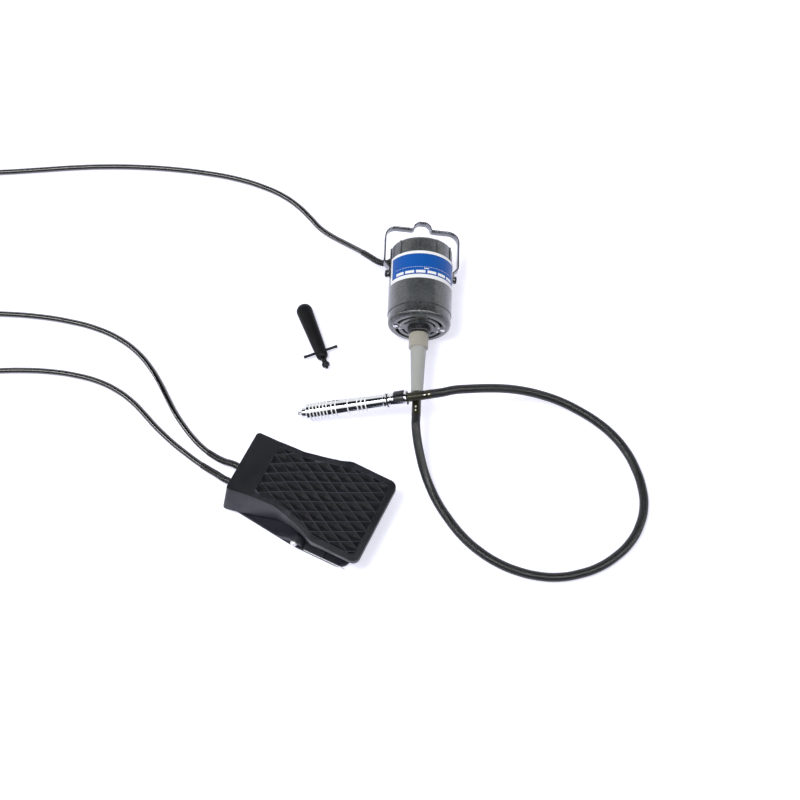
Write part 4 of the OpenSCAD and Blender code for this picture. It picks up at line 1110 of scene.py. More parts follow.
@dataclass
class Motor:
    """The motor: cap, can, bell, plate, bolts, boss and its inner works, in its own millimetres along Z.

    Attributes:
        radius: Radius of the can.
        wall: Thickness of the shells.
        cap: Length of the rear cap.
        can: Length of the can.
        bell: Length of the front bell.
        bell_edge: Radius of the bell's front edge.
        ribs: Ribs round the cap.
        cap_vents: Inner radius, outer radius and angle of the cap's air slots.
        cap_vent_count: How many of them there are.
        bell_vents: The same three sizes of the bell's inner and outer slots.
        bolt_circle: Distance of the two bolts from the axis.
        plate: Lower edge, upper edge and angle of the name plate.
        bars: How many white bars the plate has.
        dashes: How many dashes its thin rule has.
    """

    radius: float = 46.0
    wall: float = 2.5
    cap: float = 24.0
    can: float = 84.0
    bell: float = 18.0
    bell_edge: float = 7.0
    ribs: int = 10
    cap_vents: Point = (22.0, 33.0, 26.0)
    cap_vent_count: int = 8
    bell_vents: tuple[Point, Point] = ((21.6, 25.0, 54.0), (30.0, 34.5, 62.0))
    bolt_circle: float = 34.0
    plate: Point = (25.0, 69.0, 150.0)
    bars: int = 6
    dashes: int = 36

    @property
    def front(self) -> float:
        """Height of the bell's front face."""
        return self.cap + self.can + self.bell

    def rear_cap(self) -> None:
        """The ribbed cap with its ring of air slots and a raised bearing seat."""
        r, inner = self.radius - 1.2, self.radius - self.wall
        shell = lathe("rear_cap_shell", [
            (0, 1.2), (15, 1.2), (16, 0), *round_arc(r - 4, 4, 4, -90, 0), (r, self.cap - 0.5),
            (r - 0.5, self.cap), (inner, self.cap), (inner, 5), (inner - 2, 2.6), (0, 2.6)], 120)
        step = 360 / self.cap_vent_count
        slot = sector("slot", *self.cap_vents, -2, 6, step / 2, 8)
        cut(shell, join("slots", copies(slot, [turn("Z", step * k) for k in range(self.cap_vent_count)])))
        rib = soften(sector("rib", r - 0.6, self.radius + 0.2, 3.0, 2.2, self.cap - 0.2, 0, 2), 0.35, 2)
        ribs = copies(rib, [turn("Z", 67.5 + 360 * k / self.ribs) for k in range(self.ribs)])
        collar = lathe("hub", [(9, 0.6), (12.6, 0.6), (13.4, 0.8), (9, 1.3), (9, 0.6)], 48)
        dress(place(join("rear_cap_shell", [collar, *ribs, shell]), MOTOR_PLACE), "set",
              HAMMERTONE, ("rear_cap",))

    def can_shell(self) -> None:
        """The rolled can with chamfered rims."""
        r, inner, low, high = self.radius, self.radius - self.wall, self.cap, self.cap + self.can
        tube = lathe("can_shell", [
            (inner, low), (r - 0.7, low), (r, low + 0.7), (r, high - 0.8), (r - 0.8, high), (inner, high),
            (inner, low)], 128)
        place(tube, MOTOR_PLACE)
        dress(tube, "set", HAMMERTONE, ("motor_can",))

    def front_bell(self) -> None:
        """The cast bell: rounded shoulder, two rings of air slots, hub ring, rivets and bolt recesses."""
        r, low, top, edge = self.radius - 1, self.cap + self.can, self.front, self.bell_edge
        inner = r - self.wall
        shell = lathe("front_bell_shell", [
            (10, top - 3), (10, top), (15.6, top), (16.6, top + 0.9), (19.4, top + 0.9), (20.4, top),
            *reversed(round_arc(r - edge, top - edge, edge, 0, 90, 9)), (r, low + 0.6), (r - 0.6, low), (inner, low),
            (inner, top - 8), (inner - 4, top - 3), (10, top - 3)], 128)
        slots = [sector(f"slot_{q}_{k}", a, b, w, top - 5, top + 3, q, 12)
                 for q in (45, 135, 225, 315) for k, (a, b, w) in enumerate(self.bell_vents)]
        wells = [peg(f"well_{s}", 5.4, (s * self.bolt_circle, 0, top - 1.5), (s * self.bolt_circle, 0, top + 3), 32)
                 for s in (-1, 1)]
        cut(shell, join("slots", slots), join("wells", wells))
        soften(shell, 0.3, 2, 50)
        rivets = [place(lathe(f"rivet_{a}", [(0, top + 1.0), (0.9, top + 0.8), (1.5, top + 0.3), (1.7, top - 0.4),
                                             (0, top - 0.4)], 16),
                        turn("Z", a) @ Matrix.Translation((27.6, 0, 0))) for a in (11, 169, 191, 349)]
        dress(place(shell, MOTOR_PLACE), "set", HAMMERTONE, ("front_bell",))
        dress(place(join("bell_rivets", rivets), MOTOR_PLACE), "set", CHROME)

    def name_plate(self) -> None:
        """The bare printed plate: white border, blue field, a row of white bars and a thin dashed rule."""
        r, middle = self.radius, 90
        low, high, width = self.plate
        base = soften(sector("plate_sheet", r + 0.02, r + 0.35, width, low, high, middle, 48), 0.08, 1)
        dress(place(base, MOTOR_PLACE), "set", PLATE_WHITE, ("name_plate",))
        dark = sector("plate_rule", r + 0.3, r + 0.4, width - 12.4, low + 4.6, high - 5.8, middle, 48)
        dress(place(dark, MOTOR_PLACE), "set", replace(PLATE_BLUE, name="plate_rule", colour="#173a6e"))
        field = sector("plate_field", r + 0.3, r + 0.44, width - 13.6, low + 5.1, high - 6.3, middle, 48)
        dress(place(field, MOTOR_PLACE), "set", PLATE_BLUE)
        bars = [sector(f"bar_{k}", r + 0.4, r + 0.5, 16.6, 57, 61.3, middle - 2 + 20 * (k - (self.bars - 1) / 2), 6)
                for k in range(self.bars)]
        bars.append(sector("short_bar", r + 0.4, r + 0.5, 9, 53.4, 54.8, middle - 2, 4))
        bars += [sector(f"dash_{k}", r + 0.4, r + 0.48, 1.6, 51.2, 51.8, middle + 3.2 * (k - (self.dashes - 1) / 2), 2)
                 for k in range(self.dashes)]
        dress(place(join("plate_bars", bars), MOTOR_PLACE), "set", PLATE_WHITE)

    def bolts(self) -> None:
        """The two long bolts with domed and slotted heads, and their nuts."""
        top, parts = self.front, []
        for s in (-1, 1):
            bolt = lathe(f"bolt_{s}", [(0, -2.5), (3.6, -2.5), (4, -2.1), (4, -0.3), (3.7, 0), (2.2, 0.1),
                                       (2.2, top - 1.5), (3.9, top - 1.5), (4.2, top - 1.2), (4.2, top - 0.3),
                                       (3.4, top + 0.6), (1.8, top + 1.0), (0, top + 1.1)], 32)
            cut(bolt, place(block("slot", (-5, -0.7, top), (5, 0.7, top + 3)), turn("Z", 35 * s)))
            parts.append(place(bolt, Matrix.Translation((s * self.bolt_circle, 0, 0))))
        dress(place(join("bolt_set", parts), MOTOR_PLACE), "set", CHROME, ("through_bolts",), 30)

    def boss(self) -> None:
        """The glossy black bearing boss in front of the bell."""
        top = self.front
        body = lathe("boss_ring", [(10, top + 0.1), (15.2, top + 0.1), (16, top + 0.9), (16, top + 8), (15.6, top + 9),
                                   (14, top + 10.7), (13.2, top + 11), (10, top + 11), (10, top + 0.1)], 96)
        dress(place(body, MOTOR_PLACE), "set", GLOSS_NYLON, ("bearing_boss",))

    def works(self) -> None:
        """The parts inside, which keep their CAD shapes."""
        axis = heading(MOTOR_PLACE)
        repaint(replace(TOOL_STEEL, name="bearing_steel", axis=axis), "motor_bearings", "motor_shaft",
                "shaft_coupling")
        repaint(replace(LAMINATIONS, axis=axis), "stator_core", "armature_core")
        repaint(replace(WINDING, axis=axis), "field_coils", "armature_windings", "commutator")
        repaint(BRASS, "brush_rigging")
        repaint(CARBON, "carbon_brushes")
        repaint(TOOL_STEEL, "brush_springs")
        repaint(PALE_NYLON, "cooling_fan")

    def grommet(self) -> None:
        """The moulded grommet that the lead comes out of."""
        r = self.radius
        ring = lathe("grommet_ring", [
            (3.2, r - 6), (6.45, r - 6), (6.45, r - 4), (5, r - 4), (5, r - 0.6), (6.3, r - 0.6), (6.75, r - 0.1),
            (6.75, r + 0.9), (6.2, r + 1.4), (5.9, r + 1.5), (4.6, r + 4.5), (3.2, r + 4.5), (3.2, r - 6)], 40)
        spot = MOTOR_PLACE @ Matrix.Translation((0, 0, GROMMET_STATION)) @ turn("Z", GROMMET_TURN) @ turn("Y", 90)
        dress(place(ring, spot), "set", GLOSS_NYLON, ("lead_grommet",))

    def build(self) -> None:
        """Builds and dresses the motor."""
        for step in (self.rear_cap, self.can_shell, self.front_bell, self.name_plate, self.bolts, self.boss,
                     self.grommet, self.works):
            step()


@dataclass
class Bail:
    """The chromed hanger: a flat strap with a hump, round eyes and its two pivot screws.

    Attributes:
        width: Width of the strap.
        thick: Its thickness.
        eye: Distance of the eyes' inner faces from the axis.
        arm: Distance of the arms from the axis.
        pivot: Height of the pivots.
        bar: Height of the cross bar.
        corner: Radius of the strap's corners.
        hump: Height of the hump.
    """

    width: float = 12.0
    thick: float = 2.0
    eye: float = 47.3
    arm: float = 55.0
    pivot: float = 42.0
    bar: float = -36.0
    corner: float = 17.0
    hump: float = 12.0

    def line(self) -> list[Flat]:
        """Bends the strap's inner line from one eye to the other.

        Returns:
            Its points, in the motor's XZ plane.
        """
        half = [(self.eye, self.pivot, 0), (self.eye, self.pivot - 8, 3), (self.arm, self.pivot - 17, 5),
                (self.arm, self.bar, self.corner), (13.8, self.bar, 2.5), (12.2, self.bar - 6.5, 5),
                (6, self.bar - self.hump, 6)]
        return round_corners(half + [(-x, z, r) for x, z, r in reversed(half)], 6)

    def strap(self) -> None:
        """The bent strap with its eyes."""
        inner, outer = self.line(), []
        for k, (x, z) in enumerate(inner):
            before, after = Vector(inner[max(0, k - 1)]), Vector(inner[min(len(inner) - 1, k + 1)])
            way = (after - before).normalized()
            outer.append((x + way.y * self.thick, z - way.x * self.thick))
        strap = prism("bail_strap", inner + outer[::-1], -self.width / 2, self.width / 2)
        place(strap, turn("X", 90))
        eyes = [peg(f"eye_{s}", self.width / 2, (s * self.eye, 0, self.pivot),
                    (s * (self.eye + self.thick), 0, self.pivot), 40) for s in (-1, 1)]
        for part in (*eyes, strap):
            soften(part, 0.45, 2)
        dress(place(join("bail_strap", [*eyes, strap]), MOTOR_PLACE), "bail", BUFFED, ("bail",), 30)

    def screws(self) -> None:
        """The two pivot screws with spacers and domed, slotted heads."""
        out, parts = self.eye + self.thick + 0.1, []
        for a in (0, 180):
            screw = lathe(f"screw_{a}", [(0, 41.5), (2.5, 41.5), (2.5, 45.4), (4.5, 45.4), (4.5, 47.2), (2.5, 47.2),
                                         (2.5, out), (5.0, out), (5.5, out + 0.5), (5.5, out + 1.7), (4.6, out + 2.7),
                                         (2.6, out + 3.15), (0, out + 3.2)], 36)
            cut(screw, place(block("slot", (-7, -0.6, out + 2.1), (7, 0.6, out + 5)), turn("Z", 30)))
            parts.append(place(screw, Matrix.Translation((0, 0, self.pivot)) @ turn("Z", a) @ turn("Y", 90)))
        dress(place(join("bail_screw_set", parts), MOTOR_PLACE), "set", BLACK_OXIDE, ("bail_screws",), 30)

    def build(self) -> None:
        """Builds and dresses the bail."""
        self.strap()
        self.screws()


@dataclass
class ShaftEnds:
    """The collar and the tapered boot in front of the motor, and the two ferrules of the sheath.

    Attributes:
        collar: Height of the collar's rear face.
        boot: Height of the boot's rear face.
        ferrule: Height of the motor's ferrule.
        ferrule_radius: Radius of both ferrules.
        ferrule_length: Length of both ferrules.
    """

    collar: float = 137.0
    boot: float = 159.0
    ferrule: float = 228.0
    ferrule_radius: float = 6.5
    ferrule_length: float = 35.0

    def collar_ring(self) -> None:
        """The collar, with a fine moulded seam."""
        low, high = self.collar, self.boot
        ring = lathe("collar_ring", [(11, low), (13.3, low), (14, low + 0.8), (14, high - 1.4), (12.9, high - 0.1),
                                     (11.4, high), (11.25, high - 0.1), (11.25, high - 3.2), (9.5, high - 3.2),
                                     (9.5, high - 4.8), (11, high - 4.8), (11, low)], 96)
        seam = block("seam", (-0.2, 13.8, low - 1), (0.2, 15, high + 1))
        cut(ring, seam)
        dress(place(ring, MOTOR_PLACE), "set", COLLAR_NYLON, ("connector_collar",))

    def boot_cone(self) -> None:
        """The boot, which narrows forwards and ends in a rolled lip."""
        low, high = self.boot, self.ferrule
        profile = [(7.2, low - 2.9), (11.2, low - 2.9), (11.25, low + 0.2), (11.15, low + 1.2)]
        profile += [(11.25 - 2.75 * t / 12, low + (high - low) * t / 12) for t in range(1, 12)]
        profile += [(8.75, high - 3), (8.7, high - 1.2), (8.1, high - 0.2), (7.2, high), (3.6, high),
                    (3.6, low + 8), (7.2, low + 7), (7.2, low - 2.9)]
        dress(place(lathe("boot_cone", profile, 96), MOTOR_PLACE), "set", GREY_NYLON, ("sheath_boot",))

    def ferrule_tube(self, name: str, low: float, crimps: Sequence[float], matrix: Matrix, node: str,
                     body: str, spigot: bool, first: float) -> None:
        """One ferrule with rolled rims and rows of crimps, each dimple holding a painted glint.

        Args:
            name: The piece's name.
            low: Height of its rear face.
            crimps: Heights of its crimps.
            matrix: The place of its sub-assembly.
            node: The CAD node that it replaces.
            body: The CAD body that it rides on.
            spigot: Whether a thinner spigot goes on from its front.
            first: Angle of the first row of dimples.
        """
        r, high = self.ferrule_radius, low + self.ferrule_length
        profile = [(3.4, low), (r - 0.5, low), (r, low + 0.5), (r, low + 9), (r - 0.25, low + 9.6),
                   (r - 0.25, low + 10.4), (r, low + 11), (r, high - 0.5), (r - 0.5, high)]
        profile += [(5.4, high), (5.4, high + 12.2), (4.8, high + 13), (5.4, high + 13.8), (5.4, high + 17.4),
                    (4.8, high + 18), (3.4, high + 18)] if spigot else [(3.4, high)]
        tube = lathe(name, [*profile, (3.4, low)], 64)
        dimples, spots = [], []
        for z in crimps:
            for k in range(4):
                around = turn("Z", first + 90 * k)
                oval = Matrix.Diagonal((1.5, 1, 1, 1))
                spot = Matrix.Translation((0, 0, z)) @ around @ turn("Y", 90) @ oval
                dimples.append(place(
                    lathe("dimple", [(0, r - 0.7), (1.1, r - 0.3), (1.3, r + 0.8), (0, r + 0.8)], 16), spot))
                # A near-white disc in each dimple: a painted glint.
                spots.append(place(
                    lathe("spot", [(0, r - 0.75), (1.05, r - 0.75), (1.05, r - 0.3), (0, r + 0.05)], 16), spot))
        cut(tube, join("dimples", dimples))
        lacquer = replace(OLIVE_LACQUER, name=name + "_lacquer", axis=heading(matrix))
        dress(place(tube, matrix), body, lacquer, (node,))
        dress(place(join(name + "_crimp_glints", spots), matrix), body, CRIMP_GLINT)

    def build(self) -> None:
        """Builds and dresses them."""
        self.collar_ring()
        self.boot_cone()
        self.ferrule_tube("motor_ferrule_tube", self.ferrule, (251.8, 257.3), MOTOR_PLACE, "motor_ferrule", "set",
                          False, 106)
        self.ferrule_tube("hand_ferrule_tube", -self.ferrule_length, (-25.5, -32), HAND_PLACE, "handpiece_ferrule",
                          "set", True, 67)
        repaint(replace(TOOL_STEEL, name="wire_core", axis=heading(MOTOR_PLACE)), "flex_core")
        repaint(replace(TOOL_STEEL, name="drive_tip_steel", axis=heading(HAND_PLACE)), "drive_tip")


# ---------------------------------------------------------------- handpiece


@dataclass
class Handpiece:
    """The handpiece, in its own millimetres along Z from the sheath to the tip.

    Attributes:
        socket: Length of the rear socket.
        socket_radius: Its radius.
        length: Station of the grip's front face.
        rear_radius: Radius of the grip where it starts.
        front_radius: Radius of the grip at its front.
        grooves: Stations of the grooves.
        groove_depth: Their depth.
        button_turn: The button's turn about the axis from straight up, in degrees.
    """

    socket: float = 34.0
    socket_radius: float = 10.4
    length: float = GRIP_LENGTH
    rear_radius: float = 10.0
    front_radius: float = GRIP_RADIUS
    grooves: tuple[float, ...] = (59, 65, 71, 85, 103, 109, 116, 121, 126, 131, 136, 141)
    groove_depth: float = 0.6
    button_turn: float = 10.0

    def rear_socket(self) -> None:
        """The socket with its dark neck, its flange and the opening for the button."""
        r, high = self.socket_radius, self.socket
        body = lathe("socket_body", [
            (5.45, 0.4), (r - 0.7, 0.4), (r, 1.1), (r, 23.6), (r - 0.4, 24.2), (r - 0.9, 24.6), (r - 0.9, 29.6),
            (r + 0.1, 30), (r + 0.6, 30.5), (r + 0.6, high - 0.6), (r + 0.1, high), (8, high), (8, 28),
            (5.45, 27), (5.45, 0.4)], 96)
        saddle = self.saddle("opening", 6.4, 14, 0.45)
        cut(body, saddle)
        dress(place(soften(body, 0.15, 1, 60), HAND_PLACE), "handpiece",
              replace(CHROME, name="socket_chrome"), ("rear_socket",))
        neck = lathe("socket_neck", [(r - 1.1, 27.2), (r - 0.75, 27.3), (r - 0.75, 29.4), (r - 1.1, 29.5),
                                     (r - 1.1, 27.2)], 72)
        dress(place(neck, HAND_PLACE), "handpiece", BLACK_OXIDE)

    def saddle(self, name: str, inner: float, outer: float, grow: float) -> Piece:
        """The form of the button: a saddle between two radii, with sides along the press.

        Args:
            name: Its name.
            inner: Its inner radius.
            outer: Its outer radius.
            grow: What is added all round.

        Returns:
            The form, turned to its place round the axis.
        """
        low, high = 3.8 - grow, 18.2 + grow
        ring = sector(name, inner, outer, 150, low, high, 0, 24)
        width = 8.2 + grow
        box = block("sides", (0, -width, low - 1), (30, width, high + 1))
        modify(ring, "BOOLEAN", operation="INTERSECT", solver="EXACT", object=box)
        bpy.data.objects.remove(box)
        return place(ring, turn("Z", self.button_turn))

    def button(self) -> None:
        """The black release button, a rounded saddle."""
        saddle = soften(self.saddle("button_saddle", 9.0, 11.4, 0), 0.5, 3)
        dress(place(saddle, HAND_PLACE), "button", GLOSS_NYLON, ("release_button",))

    def grip(self) -> None:
        """The grooved grip, which widens forwards."""
        low, high = self.socket, self.length
        slope = (self.front_radius - self.rear_radius) / (high - low)
        profile = [(4, low), (self.rear_radius - 0.5, low), (self.rear_radius, low + 0.5)]
        for z in self.grooves:
            r = self.rear_radius + slope * (z - low)
            floor = r - self.groove_depth
            profile += [(r, z - 0.4), (r - 0.15, z - 0.25), (floor, z - 0.1), (floor, z + 1.3), (r - 0.15, z + 1.45),
                        (r, z + 1.6)]
        profile += [(self.front_radius - 0.05, high - 1.2), (self.front_radius - 1.0, high), (8, high), (8, high - 19),
                    (4, high - 20), (4, low)]
        tube = lathe("grip_tube", profile, 112)
        floors = [face.index for face in tube.data.polygons
                  if any(z - 0.2 < face.center.z < z + 1.4 for z in self.grooves)]
        dress(place(tube, HAND_PLACE), "handpiece", CHROME, ("handpiece_grip",), 30)
        # The groove faces take the near-white finish: a painted highlight.
        tube.data.materials.append(replace(GROOVE_GLARE, axis=heading(HAND_PLACE)).build())
        for index in floors:
            tube.data.polygons[index].material_index = 1

    def chuck(self) -> None:
        """The chuck: body, notched key ring and three jaws."""
        steel = replace(TOOL_STEEL, name="chuck_steel", axis=heading(HAND_PLACE))
        plated = replace(CHROME, name="key_ring_steel", slot="tool_steel", roughness=0.14)
        dress(refined("chuck_body", 0.0002, "chuck_nose"), "chuck", steel, ("chuck_body",))
        dress(refined("key_ring", 0.00025, "key_ring_band"), "key_ring", plated, ("key_ring",))
        for k in (1, 2, 3):
            dress(refined(f"jaw_{k}", 0.00025, f"jaw_{k}_prong"), f"jaw_{k}",
                  replace(CHROME, name="jaw_steel", slot="tool_steel", roughness=0.16), (f"jaw_{k}",))
        repaint(steel, "spindle", "spindle_bearings")

    def build(self) -> None:
        """Builds and dresses the handpiece."""
        for step in (self.rear_socket, self.button, self.grip, self.chuck):
            step()


# ---------------------------------------------------------------- foot control


def lookup(points: Sequence[Flat], x: float, blur: float = 5.0) -> float:
    """Reads the height of a broken line, averaged over a short stretch so that its corners are rounded.

    Args:
        points: The line's corners.
        x: Where it is read.
        blur: How far to each side it is averaged.

    Returns:
        The height.
    """

    def at(here: float) -> float:
        """Reads the line itself.

        Args:
            here: Where it is read.

        Returns:
            Its height.
        """
        for (x0, y0), (x1, y1) in zip(points, points[1:]):
            if here <= x1:
                return y0 + (y1 - y0) * (here - x0) / (x1 - x0)
        return points[-1][1]

    low, high = points[0][0], points[-1][0]
    steps = [min(high, max(low, x + blur * k / 2)) for k in range(-2, 3)]
    return sum(at(s) for s in steps) / len(steps)


def slice_up(piece: Piece, planes: Sequence[tuple[Point, Point]]) -> Piece:
    """Cuts a mesh along planes without parting it.

    Args:
        piece: The mesh.
        planes: A point and the normal of each plane.

    Returns:
        The mesh.
    """
    only(piece)
    mode("EDIT")
    for spot, normal in planes:
        bpy.ops.mesh.select_all(action="SELECT")
        bpy.ops.mesh.bisect(plane_co=spot, plane_no=normal)
    mode("OBJECT")
    return piece


def move_points(piece: Piece, rule: Callable[[Vector], Vector]) -> Piece:
    """Moves every point of a mesh by a rule.

    Args:
        piece: The mesh.
        rule: Gives a point's new place from its old one.

    Returns:
        The mesh.
    """
    for vertex in piece.data.vertices:
        vertex.co = rule(vertex.co.copy())
    piece.data.update()
    return piece


@dataclass
class Pedal:
    """The foot control, in its own millimetres: X to the toe, Z up from the table.

    Attributes:
        rear: Station of the treadle's rear edge.
        toe: Station of its front edge.
        wall: Thickness of the treadle's shell.
        half_waist: Half its width where it is narrowest.
        lug: Distance of its two lugs from the middle.
        pivot: Station of the pivot pin.
        pin_height: Height of the pin.
        ear: Distance of the base's ears from the middle.
        slope: Angle of the tread's ribs to X, in degrees.
        pitches: Distances between the ribs of each way.
        border: Width of the smooth edge round the tread.
        tread_rear: Station of the tread's rear edge.
        half_rib: Half the width of a rib.
        rib_top: How far the ribs stand above the deck.
        pit: How far the middle of a pocket lies below it.
        lead_y: The two leads' distances from the middle.
        press: The treadle's travel, in degrees; not used.
    """

    rear: float = -3.0
    toe: float = 204.0
    wall: float = 2.5
    half_waist: float = 44.0
    lug: float = 40.0
    pivot: float = 110.0
    pin_height: float = 18.0
    ear: float = 64.5
    slope: float = 27.8
    pitches: tuple[float, float] = (13.8, 12.6)
    border: float = 8.0
    tread_rear: float = 36.0
    half_rib: float = 0.34
    rib_top: float = 0.45
    pit: float = 1.85
    lead_y: tuple[float, float] = (-25.0, 0.0)
    press: float = 8.0

    SMALLEST = 26.0  # a pocket with less area stays solid
    # Heights of the deck, heights of the skirt's foot and its flare to the side, each by station.
    CROWN = ((-3, 48.3), (20, 53.5), (40, 57.5), (60, 59.7), (75, 60), (90, 58.8), (109, 55.5), (134, 50), (170, 47),
             (204, 45))
    SKIRT = ((-3, 7.5), (35, 8.6), (70, 14), (98, 28), (125, 33), (150, 37), (204, 35))
    FLARE = ((-3, 15), (14, 13), (35, 9.5), (70, 1.5), (95, 0), (204, 0))

    def plan(self, margin: float, rear: float) -> list[Flat]:
        """The treadle's outline from above.

        Args:
            margin: How far it is drawn in.
            rear: Where it starts.

        Returns:
            Its points, all round.
        """
        waist = self.half_waist - margin
        half = [(rear, 46.5 - margin, 5), ((rear + 66) / 2, waist, 25), (72, waist, 40),
                (97, 49.75 - margin, 70), (120, 56.5 - margin, 50), (134.6, 63.5 - margin, 20),
                (self.toe - margin, 63.5 - margin, 10 - margin / 4)]
        return round_corners(half + [(x, -y, r) for x, y, r in reversed(half)], 6)

    def stations(self, first: int, last: int, step: int = 6) -> list[tuple[Point, Point]]:
        """Planes across X that let a flat sheet follow the crown."""
        return [((x, 0, 0), (1, 0, 0)) for x in range(first, last, step)]

    def treadle(self) -> None:
        """The treadle's shell: crowned deck, rolled edge, flared skirt, lugs and a pocket for the tread."""
        shell = slice_up(prism("treadle_shell", self.plan(0, self.rear), 0, 1), self.stations(5, 204))
        only(shell)
        mode("EDIT", "FACE")
        bpy.ops.mesh.select_all(action="DESELECT")
        mode("OBJECT")
        for face in shell.data.polygons:
            face.select = face.normal.z < -0.9
        mode("EDIT", "FACE")
        bpy.ops.mesh.delete(type="FACE")
        mode("OBJECT")

        def shape(p: Vector) -> Vector:
            """Lifts deck points to the crown and rim points to the skirt's flared foot.

            Args:
                p: The point on the flat form.

            Returns:
                Its place on the treadle.
            """
            if p.z > 0.5:
                return Vector((p.x, p.y, lookup(self.CROWN, p.x)))
            flare = math.copysign(lookup(self.FLARE, p.x), p.y) * min(1, abs(p.y) / self.half_waist)
            back = 2.5 * max(0.0, 1 - (p.x - self.rear) / 12)
            return Vector((p.x - back, p.y + flare, lookup(self.SKIRT, p.x)))

        move_points(shell, shape)
        soften(shell, 3.0, 4, 45)
        modify(shell, "SOLIDIFY", thickness=self.wall, offset=-1, use_even_offset=True)
        pocket = slice_up(prism("pocket", self.plan(self.border, self.tread_rear), 0, 1), self.stations(42, 196))
        move_points(pocket, lambda p: Vector((p.x, p.y, lookup(self.CROWN, p.x) + (12 if p.z > 0.5 else -2.1))))
        notch = block("notch", (-9, self.lead_y[0] - 12, -1), (7, self.lead_y[1] + 12, 25))
        cut(shell, pocket, notch)
        lugs = []
        for s in (-1, 1):
            y = s * self.lug
            lug = block(f"lug_{s}", (self.pivot - 9, y - 3, self.pin_height - 7), (self.pivot + 9, y + 3, 52))
            lug = soften(lug, 1.2, 2)
            bore = peg("bore", 3.05, (self.pivot, y - 5, self.pin_height), (self.pivot, y + 5, self.pin_height), 32)
            lugs.append(cut(lug, bore))
        lugs.append(peg("pad", 6, (150, 0, 42.3), (150, 0, 47), 32))
        dress(place(join("treadle_shell", [*lugs, shell]), PEDAL_PLACE), "treadle", PEDAL_NYLON, ("treadle",), 40)

    def tread(self) -> None:
        """The tread field: thin crossing ribs with a four-sided pocket between each four."""
        planes = []
        for s, pitch in zip((-1, 1), self.pitches):
            normal = Vector((math.sin(math.radians(self.slope)), s * math.cos(math.radians(self.slope)), 0))
            planes += [(tuple(Vector((self.pivot, 0, 0)) + normal * pitch * k), tuple(normal))
                       for k in range(-11, 12)]
        outline = self.plan(self.border + 0.25, self.tread_rear + 0.2)
        field = slice_up(prism("tread_field", outline, -1.4, 0), planes)
        only(field)
        for face in field.data.polygons:
            face.select = face.normal.z > 0.9 and face.area > self.SMALLEST
        mode("EDIT", "FACE")
        bpy.ops.mesh.inset(thickness=self.half_rib, depth=0, use_individual=True, use_even_offset=True)
        mode("OBJECT")
        known = len(field.data.vertices)
        mode("EDIT", "FACE")
        bpy.ops.mesh.poke()
        mode("OBJECT")
        for vertex in field.data.vertices:
            base = lookup(self.CROWN, vertex.co.x)
            if vertex.index >= known:
                vertex.co.z = base - self.pit
            else:
                vertex.co.z = base + (self.rib_top if vertex.co.z > -0.5 else -2.0)
        field.data.update()
        dress(place(field, PEDAL_PLACE), "treadle", TREAD_NYLON, angle=12)
        # The rib tops take the pale finish: a painted highlight.
        field.data.materials.append(RIB_HIGHLIGHT_NYLON.build())
        for face in field.data.polygons:
            pit = any(index >= known for index in face.vertices)
            face.material_index = 0 if pit or face.normal.z < 0.8 else 1

    def base(self) -> None:
        """The base tray with its ears, the rubber feet, the pin, whose heads carry a painted reflection, a painted
        highlight along the rim, and the bushings.
        """
        dress(refined("pedal_base", 0.0005, "base_tray"), "set", TRAY_NYLON, ("pedal_base",))
        dress(refined("pedal_feet", 0.0006, "base_feet"), "set", FOOT_RUBBER, ("pedal_feet",))
        e = self.ear
        pin = lathe("pin_body", [(0, -e - 1.6), (3.8, -e - 1.2), (4.2, -e), (3.0, -e), (3.0, e),
                                 *round_arc(0, e + 2.0, 4.7, -25, 84, 10), (0, e + 6.7)], 48)
        spot = PEDAL_PLACE @ Matrix.Translation((self.pivot, 0, self.pin_height)) @ turn("X", 90)
        shaft = [face.index for face in pin.data.polygons if abs(face.center.z) < e - 0.2]
        # The pin's heads are painted near white: a painted reflection.
        dress(place(pin, spot), "set", PAINTED_GLARE, ("pivot_pin",), 30)
        pin.data.materials.append(replace(BLACK_OXIDE, name="oiled_pin", slot="bright_steel").build())
        for index in shaft:
            pin.data.polygons[index].material_index = 1
        washers = [lathe("washer", [(4.3, s * e), (6.8, s * e), (6.4, s * (e + 1.5)), (4.8, s * (e + 1.7)),
                                    (4.3, s * e)], 40) for s in (-1, 1)]
        dress(place(join("pin_washers", washers), spot), "set", BLACK_OXIDE)
        # A pale strip on the rim's top edge in front of the ear: a painted highlight.
        glint_strip = soften(block("rim_painted_highlight", (124, -66.9, 5.4), (187, -65.5, 7.1)), 0.3, 2)
        dress(place(glint_strip, PEDAL_PLACE), "set", replace(PAINTED_GLARE, name="rim_highlight_paint", slot="black_plastic",
                                                       colour="#e6e8ec", worn="#f6f7f9"))
        rings = []
        for y in self.lead_y:
            ring = lathe("bushing", [(3.1, 0), (6.1, 0), (6.5, 0.4), (6.5, 1.6), (6.1, 2), (5, 2), (5, 5), (5.9, 5),
                                     (6, 5.3), (5.3, 8), (4.45, 14), (3.1, 14), (3.1, 0)], 40)
            rings.append(place(ring, Matrix.Translation((0, y, 15)) @ turn("Y", -90)))
        dress(place(join("bushing_pair", rings), PEDAL_PLACE), "set", GLOSS_NYLON, ("lead_bushings",))

    def springs(self) -> None:
        """The two return springs, wound from round wire."""
        x, low, high = 165.0, 5.4, lookup(self.CROWN, 165) - self.wall - 1.3
        turns, steps, radius, wire = 9, 16, 5.4, 0.0006
        coils = []
        for s in (-1, 1):
            line, count = [], turns * steps
            for k in range(count + 1):
                # The first and the last turn lie flat, as ground ends do.
                angle, share = math.tau * turns * k / count, min(1, max(0, (k / steps - 1) / (turns - 2)))
                line.append(PEDAL_PLACE @ Vector((x + radius * math.cos(angle), s * 34 + radius * math.sin(angle),
                                                  low + 0.5 + (high - low - 1) * share + 0.05 * k / steps)))
            coils.append(sleeve(f"spring_{s}", line, [wire] * len(line)))
        pair = dress(join("return_spring_pair", coils), "set", TOOL_STEEL, ("return_springs",))
        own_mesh(pair)

